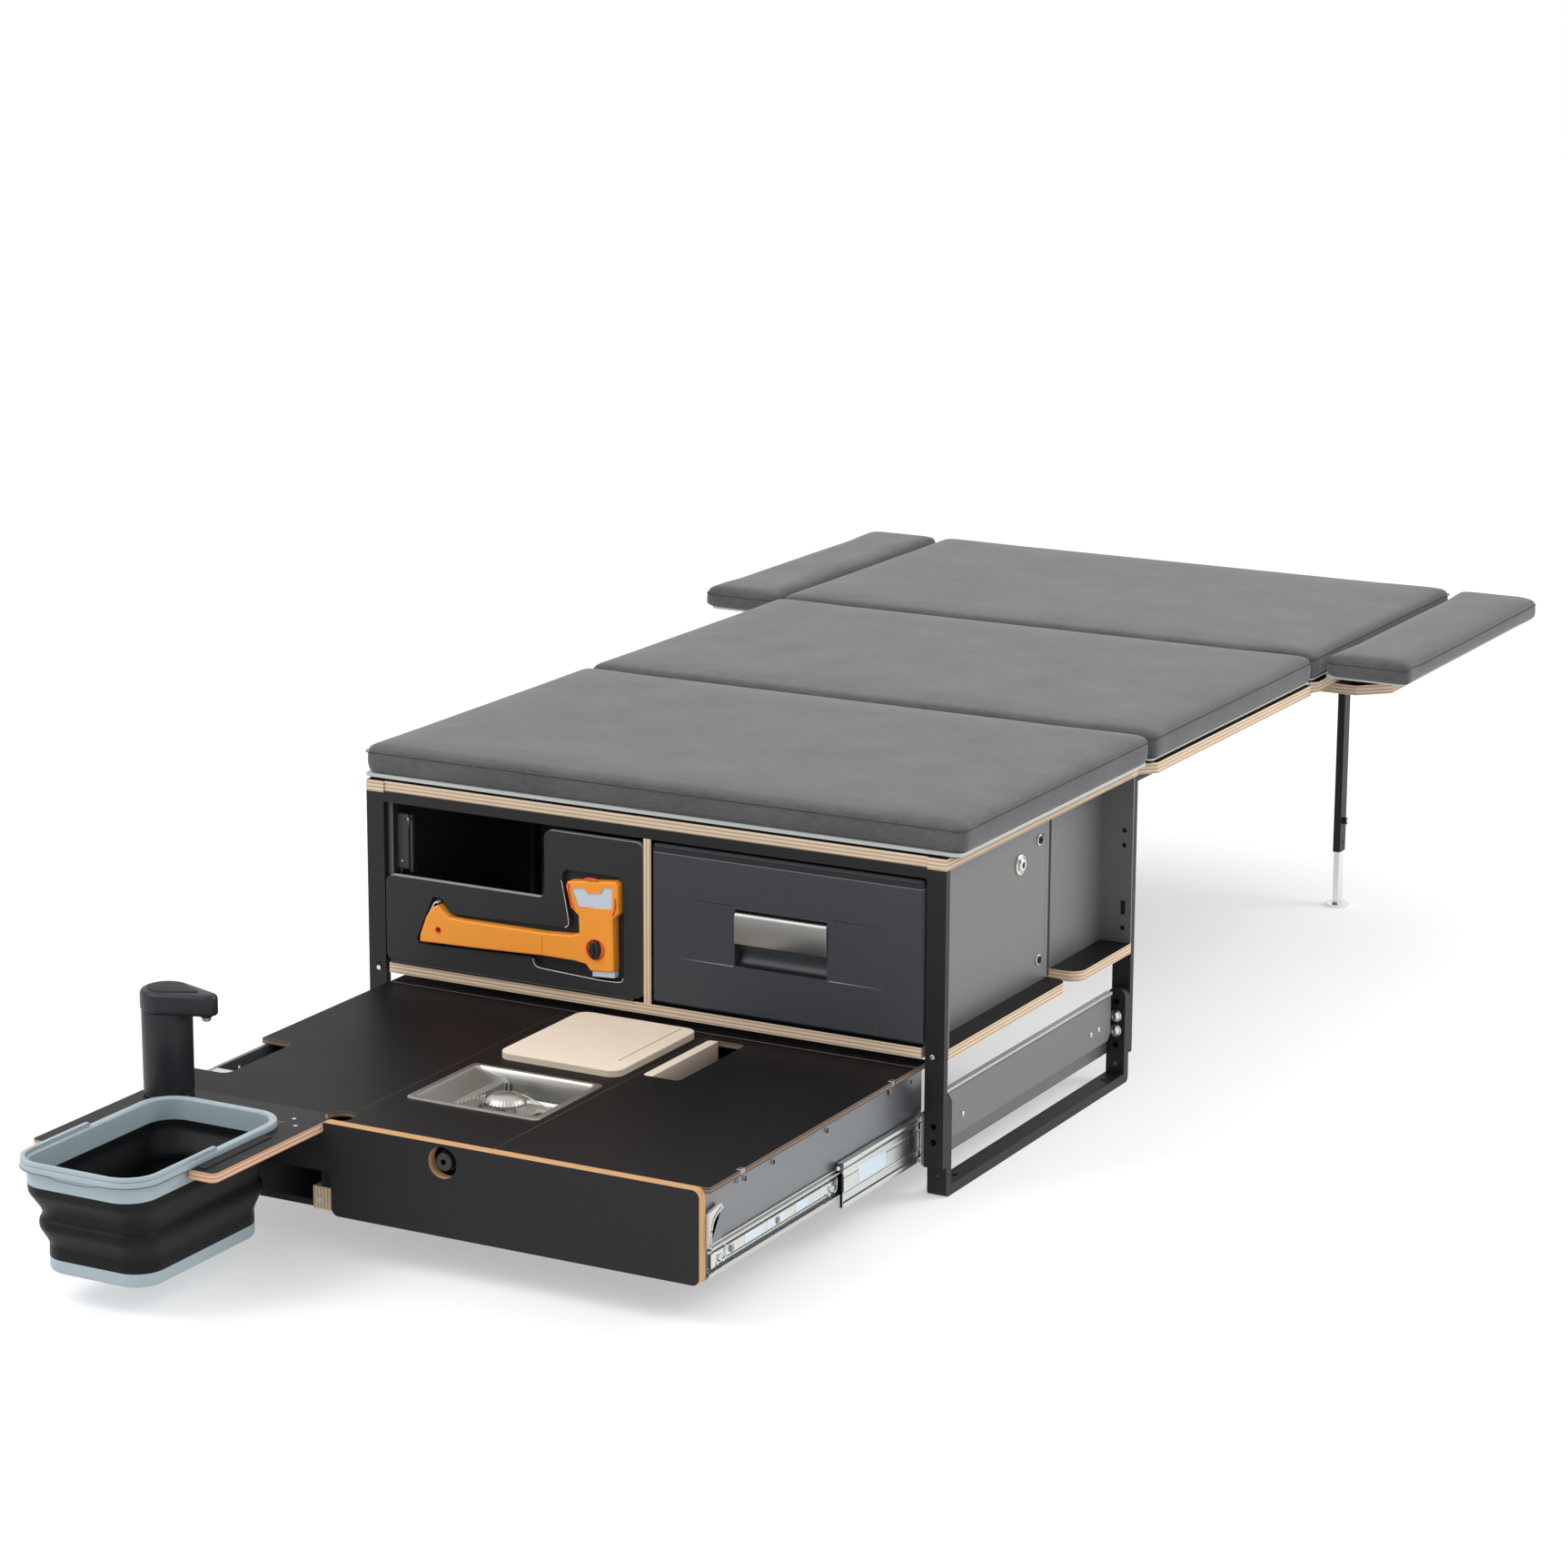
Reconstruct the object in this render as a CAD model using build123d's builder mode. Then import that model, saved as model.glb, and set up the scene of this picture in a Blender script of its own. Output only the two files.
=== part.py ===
from build123d import *
import os

os.makedirs("parts", exist_ok=True)

# Camping box with a slide-out kitchen, a drawer fridge and a bed.
# X is measured from the middle of the box, Z from the ground.
# Depths are measured from the front of the box, + towards the bed, and
# place_y turns them into row depths. The drawer's own depths are measured
# from the front of its side sheets, and the bed's from the rear of a leaf,
# which is as long as the box is deep.
# A pair of numbers is a span: its low and its high limit. A name that ends
# in side gives distances in from the box's side, one in back distances in
# from its rear face, and one in mid distances from a middle.

# Box frame
box_half = 480.0
box_deep = 650.0
post_wide = 30.0
post_thick = 12.0
post_foot = 45.0
board_low = 479.0
board_thick = 17.0
leg_thick = 16.0
leg_base = 15.0
leg_top = 150.0
leg_corner = 8.0
leg_round = 14.0
leg_hole_z = (129.0, 106.0, 83.0, 60.0)
leg_low_hole_z = 29.0
leg_base_hole_in = 42.0
leg_hole_r = 4.5
bolt_shank_r = 4.2
bolt_head_r = 8.5
bolt_dome = 5.0
bolt_round = 4.0
washer_r = 10.0
washer_thick = 2.0
bolt_grip = 25.0
carrier_side = (34.0, 30.0)
carrier_z = (44.0, 125.0)
plate_side = (18.0, 15.0)
plate_z = (74.0, 142.0)
plate_in = 48.0
plate_cut = 10.0
plate_flange = 3.0
zinc_wide = 5.0
zinc_top = 141.0
rail_drop = 14.0
rail_leaf = 3.0
rail_rise = 1.5
rail_arm = 28.0
rail_arm_side = 38.3
sleeve_hole_r = 3.5
screw_head_r = 4.5
screw_head = 1.5

# Boards and panels
shelf_z = (203.0, 219.0)
shelf_front_back = 240.0
shelf_rear_back = 198.0
shelf_tongue_side = 36.0
shelf_corner = 22.0
board_inset = 3.0
side_panel_side = (38.0, 35.0)
side_panel_back = 250.0
rear_panel_side = (53.0, 50.0)
rear_panel_back = (215.0, 12.0)
back_panel_back = (11.8, 8.8)
divider_x = (-5.0, 7.5)
divider_back = 50.0
divider_z = (219.0, 465.0)
panel_bolt_at = (326.0, 409.0)
panel_screw_at = ((259.0, 436.0), (258.0, 250.0))
panel_bolt_r = 7.0
panel_bolt_head = 4.0
panel_hole_side = 14.0
panel_holes_z = (395.0, 372.0, 242.0)
panel_hole_r = 4.0
panel_slot_z = (263.0, 285.0)

# Drawer and its slides
drawer_rear = 27.0
drawer_short = 25.0
side_side = (51.0, 48.0)
side_z = (63.0, 183.0)
floor_z = (63.0, 72.0)
back_thick = 3.0
panel_thick = 16.6
front_side = 45.0
front_low = 61.0
front_top = 191.0
step_past = 0.5
front_step_z = 178.0
notch_past = 11.0
notch_z = 122.0
front_corner = 11.0
knob_at = (44.0, 165.0)
knob_hole_r = 22.0
part_left_past = (-16.0, 8.0)
part_right_x = (108.0, 120.0)
part_top = 176.0
bracket_in = (8.0, 44.0)
bracket_z = (141.0, 156.0)
bracket_thick = 2.2
inner_in = (8.0, 17.0)
inner_z = (71.0, 105.0)
inner_side = (48.0, 40.0)
middle_out_share = 0.3863
middle_short = 50.0
middle_side = (45.5, 36.6)
outer_z = (49.7, 118.3)
outer_side = (43.0, 34.0)
slide_skin = 1.5
slide_play = 0.3
race_side = (45.0, 41.5)
bead_high = 14.0
bead_rise = 1.4
groove_at = (7.0, 16.0)
groove_sunk = 0.7
slide_screw_r = 4.0
slide_screw_share = (0.1, 0.31, 0.56, 0.8)
slide_slot = (16.0, 5.0)
slide_slot_share = (0.2, 0.44, 0.68)
stop_long = 12.0
stop_high = 20.0
side_holes_share = (0.1792, 0.304, 0.5456, 0.9472)
side_hole_z = 169.0
side_hole_r = 3.0

# Worktop
lid_z = (183.0, 191.0)
lid_side = 39.5
lid_rear = -6.0
lid_in = 0.3
lid_left_in = 18.7
seam_left = -132.0
seam_right = 114.0
lid_gap = 0.5
lid_corner = 7.0
rear_rail_y = (-5.0, 35.0)
notch_side = (39.0, 95.0)
notch_in = (98.0, 263.0)
notch_corner = 14.0
slot_x = (132.0, 170.0)
slot_y = (-230.0, -44.0)
slot_corner = 18.0
strip_x = 146.0
strip_y = (-226.0, -50.0)
strip_low = 154.0
finger_past = 5.0
finger_r = 21.0
clip_cut_in = (89.0, 522.0)
clip_cut = (7.0, 14.0)
tray_x = (-110.0, 102.0)
tray_before = (215.0, 35.0)
tray_deep = 40.0
tray_wall = 2.0
tray_lip = 5.0
tray_corner = 22.0
tray_lip_high = 1.6
stove_x = 12.0
stove_past = 85.0
burner_r = 22.0
burner_high = 26.0
cap_r = 17.0
cap_high = 9.0
cap_round = 5.4
cap_groove_r = 15.0
cap_groove_high = 3.0
spike_r = 1.5
spike_high = 6.0
support_in = 30.0
support_out = 74.0
support_thick = 2.5
support_top = 199.0
support_foot = 6.0
support_hole_r = 3.2
support_turns = (0.0, 90.0, 180.0, 270.0)
knob_r = 12.0
knob_in = (-14.0, 2.0)
knob_ribs = 16
knob_rib_r = 1.1
knob_base_r = 14.0
knob_base_high = 4.0
knob_round = 1.6
valve_r = 9.0
board_x = (-96.0, 101.0)
board_y = (-255.0, -24.0)
board_z = (191.0, 201.0)
board_corner = 20.0
board_round = 1.25
board_groove_in = 24.0
board_groove_ends = (45.0, 9.0)
board_groove_wide = 2.4
board_groove_deep = 1.2

# Sink end
fork_z = (178.0, 191.0)
fork_side = 37.0
fork_right = -146.0
fork_before = 60.0
fork_rear_in = 18.2
fork_gap = 0.6
fork_tip_share = 0.2
rim_side = (43.7, 38.7)
bucket_clear = 31.7
rim_end_half = 173.3
rim_corner = 51.0
rim_top = 200.0
rim_lip_low = 191.0
rim_low = 169.0
rim_band_in = 8.5
rim_wall = 3.0
lip_over = 3.0
wall_folds_share = ((0.0, 0.0), (0.18, 0.20), (0.22, 0.30), (0.30, 0.62), (0.34, 0.72), (0.50, 0.70),
                    (0.56, 0.80), (0.78, 0.90), (0.86, 0.99), (1.0, 1.0))
wall_skin = 3.0
base_inset = (20.3, 37.3)
base_corner = 40.0
base_z = (42.0, 62.0)
base_floor = 3.0
base_edge_r = 7.0
bail_wide = 6.0
bail_z = (200.3, 205.0)
bail_half_in = 1.0
tap_in = (40.0, -15.2)
tap_r = 33.0
tap_body_top = 312.0
tap_foot = 8.0
tap_step_in = 1.0
tap_round = 4.0
tap_neck_r = 15.0
head_r = 30.0
head_z = (318.0, 342.0)
spout_reach = 79.0
spout_r = 15.0
spout_tip_r = 5.0
spout_low = 12.0
collar_low = 4.0
collar_r = 8.0
outlet_r = 4.0
outlet_up = 6.0
button_r = 16.0
button_high = 4.0
button_well = 6.0
button_stroke = 2.5
button_round = 1.3

# Fridge
fridge_left = 8.5
fridge_side = 33.5
fridge_z = (222.5, 460.6)
fridge_y = (0.0, 11.7, 24.0)
fridge_bevel = 4.0
fridge_corner = 6.0
housing_left = 12.0
housing_side = 53.5
housing_front = 25.0
housing_back = 85.0
housing_z = (219.0, 464.0)
housing_wall = 19.0
bin_gap = 3.0
bin_wall = 5.0
bin_top_gap = 20.0
bin_back = 120.0
handle_mid = (-82.5, 66.5)
handle_z = (330.0, 380.0)
handle_y = (-3.0, 10.0)
recess_low = 296.0
recess_deep = 16.0
handle_round = 3.0
handle_gap = 0.3
handle_play = 4.0
latch_axis = (2.0, 370.0)
latch_pin_r = 1.6
latch_pin_long = 6.0

# Flap door and hatchet
door_side = 32.0
door_right = -7.0
door_y = (0.0, 11.7)
door_z = (224.0, 457.0)
door_step_z = 354.0
door_step_share = 0.6259
door_corner = 11.0
door_back = 2.7
hinge_axis = (0.0, 221.5)
hinge_r = 2.4
hinge_leaf = 1.0
hinge_knuckle = 42.0
hinge_leaf_wide = 11.7
hinge_side = 39.0
stay_side = (38.0, 60.0)
stay_y = (20.0, 34.0)
stay_z = (357.0, 446.0)
stay_round = 5.5
arm_side = (60.3, 66.0)
arm_wide = 9.0
arm_pivot = (27.0, 440.0)
arm_reach = 84.0
hollow_share = ((0.1202, 0.1631), (0.1338, 0.1330), (0.5782, 0.1631), (0.5986, 0.1116), (0.6281, 0.0944),
                (0.9116, 0.0858), (0.9297, 0.1116), (0.9297, 0.7296), (0.9116, 0.7639), (0.7075, 0.7639),
                (0.6939, 0.7296), (0.6939, 0.6867), (0.7234, 0.4378), (0.7120, 0.3906), (0.2585, 0.3605),
                (0.2222, 0.4549), (0.1859, 0.4549))
hollow_round = 3.0
handle_share = ((0.1429, 0.1588), (0.3810, 0.1717), (0.6259, 0.1910), (0.7528, 0.1910), (0.7937, 0.1803),
                (0.8118, 0.1416), (0.9002, 0.1545), (0.8980, 0.4936), (0.9184, 0.5365), (0.9184, 0.7167),
                (0.9070, 0.7382), (0.7256, 0.6996), (0.7188, 0.6695), (0.7370, 0.5322), (0.7664, 0.4893),
                (0.7687, 0.3734), (0.7392, 0.3519), (0.6259, 0.3391), (0.3243, 0.3391), (0.2630, 0.3433),
                (0.2336, 0.3863), (0.2177, 0.4163), (0.1973, 0.3991), (0.1701, 0.3305), (0.1451, 0.2060))
handle_thick = (-8.0, 8.7)
handle_edge = 2.5
handle_tip_r = 2.5
blade_share = ((0.7415, 0.6567), (0.7891, 0.6738), (0.8005, 0.6395), (0.8526, 0.6524), (0.8617, 0.6910),
               (0.8957, 0.6953), (0.8957, 0.5622), (0.7687, 0.5365))
blade_y = (-6.6, 4.0)
blade_round = 1.5
poll_share = ((0.8163, 0.1073), (0.9002, 0.1159), (0.9002, 0.1545), (0.8163, 0.1423))
poll_y = (-5.0, 7.0)
hang_share = (0.2177, 0.2532)
hang_hole_r = 5.0
lock_share = (0.8311, 0.2854)
lock_half = (8.5, 13.5)
lock_out = 6.0
lock_well = 2.5
lock_well_r = 14.8
lock_stem_r = 4.0
lock_grip = (1.6, 22.0)
stem_hole_r = 4.3
stem_deep = 8.5

# Bed
cushion_out = 20.0
cushion_low = 503.0
cushion_top = 545.0
cushion_crown = 5.0
cushion_round = 12.0
cushion_in = 2.0
cushion_gap = 2.5
cushion_over = 5.0
crown_in = 36.0
plinth_in = 18.0
plinth_low = 496.0
pad_out = (7.0, 157.0)
pad_past = (10.0, 10.0)
pad_low = 510.0
pad_top = 541.0
pad_crown = 4.0
pad_plinth_out = (8.0, 88.0)
pad_plinth_in = 30.0
wing_z = (462.0, 478.7)
wing_out = 95.0
wing_finger_in = 200.0
wing_past = (105.0, -50.0)
wing_cut = 45.0
finger_wide = 80.0
finger_count = 3
bed_board_past = (5.0, -4.0)
head_board_past = (5.0, 10.0)
bed_corner = 22.0
rail_side = (75.0, 50.0)
rail_z = (440.0, 461.7)
rail_past = (3.0, -150.0)
rail_skin = 2.5
rail_end_side = (75.0, 8.0)
rail_end_z = (440.0, 479.0)
riser_past = ((50.0, 110.0), (-100.0, -20.0), (20.0, 80.0), (-235.0, -215.0))
riser_leaf_counts = (1, 2, 2, 3)
leg_side = 97.0
leg_past = -196.0
leg_half = (6.5, 12.5)
leg_z = (99.0, 452.0)
leg_skin = 1.2
leg_axis_z = 441.0
leg_axis_r = 4.0
leg_axis_play = 0.1
leg_hollow_top = 380.0
clevis_thick = 2.5
clevis_half_y = 16.0
clevis_low = 424.0
foot_half = (4.9, 10.9)
foot_top = 260.0
foot_disc_r = 21.0
foot_disc = 5.0
leg_knob_z = 154.0
leg_knob_r = 6.0
leg_knob_out = 7.0
leg_hole_low_z = 115.0

# Fits and cuts
fit_gap = 0.3
over = 60.0
near = 0.06


def from_side(insets):
    """X span from two distances in from the box's right side."""
    return (box_half - insets[0], box_half - insets[1])


def to_side(insets):
    """X span from two distances in from the box's left side."""
    return (insets[0] - box_half, insets[1] - box_half)


def from_back(insets):
    """Depth span from two distances in from the box's rear face."""
    return (box_deep - insets[0], box_deep - insets[1])


def from_drawer(insets):
    """Depth span from two distances behind the drawer's front end."""
    return (drawer_out + insets[0], drawer_out + insets[1])


def past_leaf(low_leaf, high_leaf, past):
    """Depth span from two distances past the rear of two leaves of the bed."""
    return (low_leaf * box_deep + past[0], high_leaf * box_deep + past[1])


# Derived from the box
board_top = board_low + board_thick
post_in = box_half - post_wide
carrier_x = from_side(carrier_side)
plate_x = from_side(plate_side)
plate_y = (plate_in, box_deep - plate_in)
zinc_x = (post_in, post_in + zinc_wide)
rail_arm_x = box_half - rail_arm_side
shelf_front_y = box_deep - shelf_front_back
shelf_rear_y = box_deep - shelf_rear_back
shelf_tongue = box_half - shelf_tongue_side
side_panel_x = from_side(side_panel_side)
side_panel_y = (post_thick, box_deep - side_panel_back)
rear_panel_x = from_side(rear_panel_side)
rear_panel_y = from_back(rear_panel_back)
back_panel_y = from_back(back_panel_back)
divider_rear = box_deep - divider_back
panel_bolt = (box_deep - panel_bolt_at[0], panel_bolt_at[1])
panel_screws = tuple((box_deep - y, z) for y, z in panel_screw_at)
panel_hole_x = box_half - panel_hole_side

# Derived for the drawer
drawer_out = drawer_rear - (box_deep - drawer_short)
side_x = from_side(side_side)
front_half = box_half - front_side
bracket_y = from_drawer(bracket_in)
inner_y = (drawer_out + inner_in[0], drawer_rear - inner_in[1])
inner_x = from_side(inner_side)
middle_front = drawer_out * middle_out_share
middle_y = (middle_front, middle_front + box_deep - middle_short)
middle_x = from_side(middle_side)
outer_y = (0.0, box_deep - plate_in)
outer_x = from_side(outer_side)
race_x = from_side(race_side)
side_holes_y = tuple(drawer_out + (drawer_rear - drawer_out) * share for share in side_holes_share)
lid_half = box_half - lid_side
lid_front = drawer_out + lid_in
lid_left_front = drawer_out + lid_left_in
notch_left_x = to_side(notch_side)
notch_left_y = from_drawer(notch_in)
fork_x = (fork_side - box_half, fork_right)
finger_at = (fork_x[1] + finger_past, lid_left_front)
front_step_x = fork_x[1] + step_past
notch_x = fork_x[1] + notch_past
part_left_x = (fork_x[1] + part_left_past[0], fork_x[1] + part_left_past[1])
clip_cut_y = from_drawer(clip_cut_in)
tray_y = (board_y[0] - tray_before[0], board_y[0] - tray_before[1])
stove_at = (stove_x, tray_y[0] + stove_past)
knob_y = from_drawer(knob_in)
rim_x = (fork_x[0] + rim_side[0], fork_x[1] - rim_side[1])
rim_half = ((rim_x[1] - rim_x[0]) / 2, rim_end_half)
base_half = (rim_half[0] - base_inset[0], rim_half[1] - base_inset[1])
bucket_at = ((rim_x[0] + rim_x[1]) / 2, drawer_out - bucket_clear - rim_half[1])
fork_y = (bucket_at[1] - fork_before, drawer_out + fork_rear_in)
tap_at = (fork_x[0] + tap_in[0], drawer_out + tap_in[1])

# Derived for the fridge, the door and the bed
fridge_x = (fridge_left, box_half - fridge_side)
housing_x = (housing_left, box_half - housing_side)
housing_y = (housing_front, box_deep - housing_back)
bin_y = (fridge_y[2], box_deep - bin_back)
handle_x = tuple((fridge_x[0] + fridge_x[1]) / 2 + x for x in handle_mid)
door_x = (door_side - box_half, door_right)
door_step_x = door_x[0] + (door_x[1] - door_x[0]) * door_step_share
hinge_start = hinge_side - box_half
stay_x = to_side(stay_side)
arm_x = to_side(arm_side)
cushion_half = box_half + cushion_out
cushion_spans = (past_leaf(0, 1, (cushion_in, 0)), past_leaf(1, 2, (cushion_gap, 0)),
                 past_leaf(2, 3, (cushion_gap, cushion_over)))
pad_x = (cushion_half + pad_out[0], cushion_half + pad_out[1])
pad_y = past_leaf(2, 3, pad_past)
pad_plinth_x = (cushion_half + pad_plinth_out[0], cushion_half + pad_plinth_out[1])
wing_x = (cushion_half, cushion_half + wing_out)
wing_finger = cushion_half - wing_finger_in
wing_y = past_leaf(2, 3, wing_past)
bed_board_y = past_leaf(1, 2, bed_board_past)
head_board_y = past_leaf(2, 3, head_board_past)
rail_x = from_side(rail_side)
rail_y = past_leaf(1, 3, rail_past)
rail_end_x = from_side(rail_end_side)
riser_y = tuple(past_leaf(leaf, leaf, past) for leaf, past in zip(riser_leaf_counts, riser_past))
leg_at = (box_half - leg_side, past_leaf(3, 3, (leg_past, leg_past))[0])
front_reach = rim_half[1] - bucket_at[1]
rear_reach = head_board_y[1]
box_front = (front_reach - rear_reach) / 2


def on_door(shares):
    """X, Z points from shares of the door's width and height."""
    return [(door_x[0] + (door_x[1] - door_x[0]) * across, door_z[0] + (door_z[1] - door_z[0]) * up)
            for across, up in shares]


def place_y(depth):
    """Row depth of a depth measured from the front of the box."""
    return box_front + depth


def slab(x, y, z, mode=Mode.ADD, corner=0):
    """Block between three spans, its upright edges rounded by corner."""
    with BuildSketch(Plane.XY.offset(z[0])) as outline:
        with Locations(((x[0] + x[1]) / 2, place_y((y[0] + y[1]) / 2))):
            if corner:
                RectangleRounded(x[1] - x[0], y[1] - y[0], corner)
            else:
                Rectangle(x[1] - x[0], y[1] - y[0])
    extrude(outline.sketch, amount=z[1] - z[0], mode=mode)


def front_plane(depth):
    """Upright plane facing the front, its first axis X and its second Z."""
    return Plane.XZ.offset(-place_y(depth))


def cut_front(points, y, mode=Mode.ADD, corner=0):
    """Outline of X, Z points carried along the depth span y, its corners rounded."""
    with BuildSketch(front_plane(y[0])) as outline:
        with BuildLine():
            Polyline(*points, close=True)
        make_face()
        if corner:
            fillet(outline.vertices(), corner)
    extrude(outline.sketch, amount=y[0] - y[1], mode=mode)


def rod_y(x, z, y, r, mode=Mode.ADD):
    """Round bar or hole along the depth span y."""
    with BuildSketch(front_plane(y[0])) as disc:
        with Locations((x, z)):
            Circle(r)
    extrude(disc.sketch, amount=y[0] - y[1], mode=mode)


def rod_x(y, z, x, r, mode=Mode.ADD):
    """Round bar or hole along the X span."""
    with BuildSketch(Plane.YZ.offset(x[0])) as disc:
        with Locations((place_y(y), z)):
            Circle(r)
    extrude(disc.sketch, amount=x[1] - x[0], mode=mode)


def rod_z(x, y, z, r, mode=Mode.ADD):
    """Round bar or hole along the Z span."""
    with BuildSketch(Plane.XY.offset(z[0])) as disc:
        with Locations((x, place_y(y))):
            Circle(r)
    extrude(disc.sketch, amount=z[1] - z[0], mode=mode)


def both_sides():
    """Repeats what is built so far on the other side of the box."""
    mirror(about=Plane.YZ)


# Corner posts, each with the head of the screw that goes into the shelf
front_post_y = (0.0, post_thick)
rear_post_y = (box_deep - post_thick, box_deep)
post_z = (post_foot, board_low)
with BuildPart() as corner_posts:
    for span in (front_post_y, rear_post_y):
        slab((post_in, box_half), span, post_z)
        for z in (leg_hole_z[1], leg_hole_z[2]):
            rod_y((post_in + box_half) / 2, z, span, leg_hole_r, Mode.SUBTRACT)
    screw_z = (shelf_z[0] + shelf_z[1]) / 2
    rod_y((post_in + box_half) / 2, screw_z, (-screw_head, 0), screw_head_r)
    rod_y((post_in + box_half) / 2, screw_z, (box_deep, box_deep + screw_head), screw_head_r)
    both_sides()
corner_posts.part.label = "corner_posts"
export_step(corner_posts.part, "parts/corner_posts.step")

# Leg frames: a U of flat bar behind each pair of posts
leg_front_y = (post_thick, post_thick + leg_thick)
leg_rear_y = (box_deep - post_thick - leg_thick, box_deep - post_thick)
leg_mid = (post_in + box_half) / 2


def leg_frame_right():
    """Base bar with a rounded upright at each end and its rows of holes."""
    slab((post_in, box_half), (leg_front_y[0], leg_rear_y[1]), (0, leg_base))
    for span in (leg_front_y, leg_rear_y):
        slab((post_in, box_half), span, (0, leg_top))
        for z in leg_hole_z + (leg_low_hole_z,):
            rod_y(leg_mid, z, span, leg_hole_r, Mode.SUBTRACT)
    for y in (leg_front_y[1] + leg_base_hole_in, leg_rear_y[0] - leg_base_hole_in):
        rod_z(leg_mid, y, (-over, over), leg_hole_r, Mode.SUBTRACT)


with BuildPart() as frame_right:
    leg_frame_right()
    tops = frame_right.edges().filter_by(Axis.Y).group_by(Axis.Z)[-1]
    fillet(tops, leg_round)
    fillet(frame_right.edges().filter_by(Axis.X).group_by(Axis.Z)[0].sort_by(Axis.Y)[0], leg_corner)
    fillet(frame_right.edges().filter_by(Axis.X).group_by(Axis.Z)[0].sort_by(Axis.Y)[-1], leg_corner)
frame_right.part.label = "leg_frame_right"
export_step(frame_right.part, "parts/leg_frame_right.step")

with BuildPart() as frame_left:
    add(mirror(frame_right.part, about=Plane.YZ, mode=Mode.PRIVATE))
frame_left.part.label = "leg_frame_left"
export_step(frame_left.part, "parts/leg_frame_left.step")


# Leg bolts: domed heads on washers, two at each end of each frame
def leg_bolt(y, facing, z):
    """Bolt whose head stands off the face at y, towards -1 or +1, with its shank the other way."""
    washer_end = y + facing * washer_thick
    head_end = washer_end + facing * bolt_dome
    rod_y(leg_mid, z, sorted((y, washer_end)), washer_r)
    rod_y(leg_mid, z, sorted((washer_end, head_end)), bolt_head_r)
    rod_y(leg_mid, z, sorted((washer_end, y - facing * bolt_grip)), bolt_shank_r)


with BuildPart() as leg_bolts:
    for z in (leg_hole_z[1], leg_hole_z[2]):
        leg_bolt(leg_front_y[1], 1, z)
        leg_bolt(leg_rear_y[0], -1, z)
    rounds = leg_bolts.edges().filter_by(GeomType.CIRCLE)
    domes = [e for e in rounds if abs(e.radius - bolt_head_r) < near]
    head_reach = box_deep / 2 - post_thick - leg_thick - washer_thick - bolt_dome
    outer_ends = [e for e in domes if abs(abs(e.center().Y - place_y(box_deep / 2)) - head_reach) < near]
    fillet(outer_ends, bolt_round)
    both_sides()
leg_bolts.part.label = "leg_bolts"
export_step(leg_bolts.part, "parts/leg_bolts.step")

# Slide carriers inside the posts, each with a web outside it and a flange between
with BuildPart() as slide_carriers:
    slab(carrier_x, (0, box_deep), carrier_z)
    fillet(slide_carriers.edges().filter_by(Axis.X), leg_corner)
    with BuildSketch(Plane.YZ.offset(plate_x[0])) as web:
        with BuildLine():
            Polyline((place_y(plate_y[0]), plate_z[1]), (place_y(plate_y[1]), plate_z[1]),
                     (place_y(plate_y[1]), plate_z[0] + plate_cut),
                     (place_y(plate_y[1]) - plate_cut, plate_z[0]),
                     (place_y(plate_y[0]) + plate_cut, plate_z[0]),
                     (place_y(plate_y[0]), plate_z[0] + plate_cut), close=True)
        make_face()
    extrude(web.sketch, amount=plate_x[1] - plate_x[0])
    slab((carrier_x[1], plate_x[0]), plate_y, (carrier_z[1] - plate_flange, carrier_z[1]))
    slab(zinc_x, plate_y, (carrier_z[1] - plate_flange, zinc_top))
    both_sides()
slide_carriers.part.label = "slide_carriers"
export_step(slide_carriers.part, "parts/slide_carriers.step")

# Top rails: steel angles under the rim of the top board
with BuildPart() as top_rails:
    slab((-post_in, post_in), (0, rail_leaf), (board_low - rail_drop, board_low + rail_rise))
    slab((-rail_arm_x, rail_arm_x), (rail_leaf, rail_arm), (board_low - rail_leaf, board_low))
    slab((-post_in, post_in), (box_deep - rail_leaf, box_deep), (board_low - rail_drop, board_low))
    slab((-rail_arm_x, rail_arm_x), (back_panel_y[0], box_deep - rail_leaf),
         (board_low - rail_leaf, board_low))
top_rails.part.label = "top_rails"
export_step(top_rails.part, "parts/top_rails.step")

# Top board: square corners over the posts, set back between them
with BuildPart() as top_board:
    slab((-box_half, box_half), (0, box_deep), (board_low, board_top))
    slab((-post_in, post_in), (-over, board_inset), (board_low - over, board_top + over), Mode.SUBTRACT)
    slab((-post_in, post_in), (box_deep - board_inset, box_deep + over), (board_low - over, board_top + over),
         Mode.SUBTRACT)
top_board.part.label = "top_board"
export_step(top_board.part, "parts/top_board.step")

# Shelf boards: front and rear, let in round the posts
with BuildPart() as shelf_boards:
    slab((-box_half - 2 * fit_gap, box_half + 2 * fit_gap), (post_thick, shelf_front_y), shelf_z)
    slab((-shelf_tongue, shelf_tongue), (0, post_thick + fit_gap), shelf_z)
    rear_low = box_deep - post_thick
    slab((-box_half, box_half), (shelf_rear_y, rear_low), shelf_z)
    slab((-shelf_tongue, shelf_tongue), (rear_low - fit_gap, box_deep), shelf_z)
    upright_edges = shelf_boards.edges().filter_by(Axis.Z)
    side_edges = upright_edges.filter_by(lambda e: abs(e.center().X) > box_half - fit_gap)
    fillet(side_edges.filter_by(lambda e: shelf_front_y - fit_gap < e.center().Y - box_front
                                < shelf_rear_y + fit_gap), shelf_corner)
shelf_boards.part.label = "shelf_boards"
export_step(shelf_boards.part, "parts/shelf_boards.step")

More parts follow.
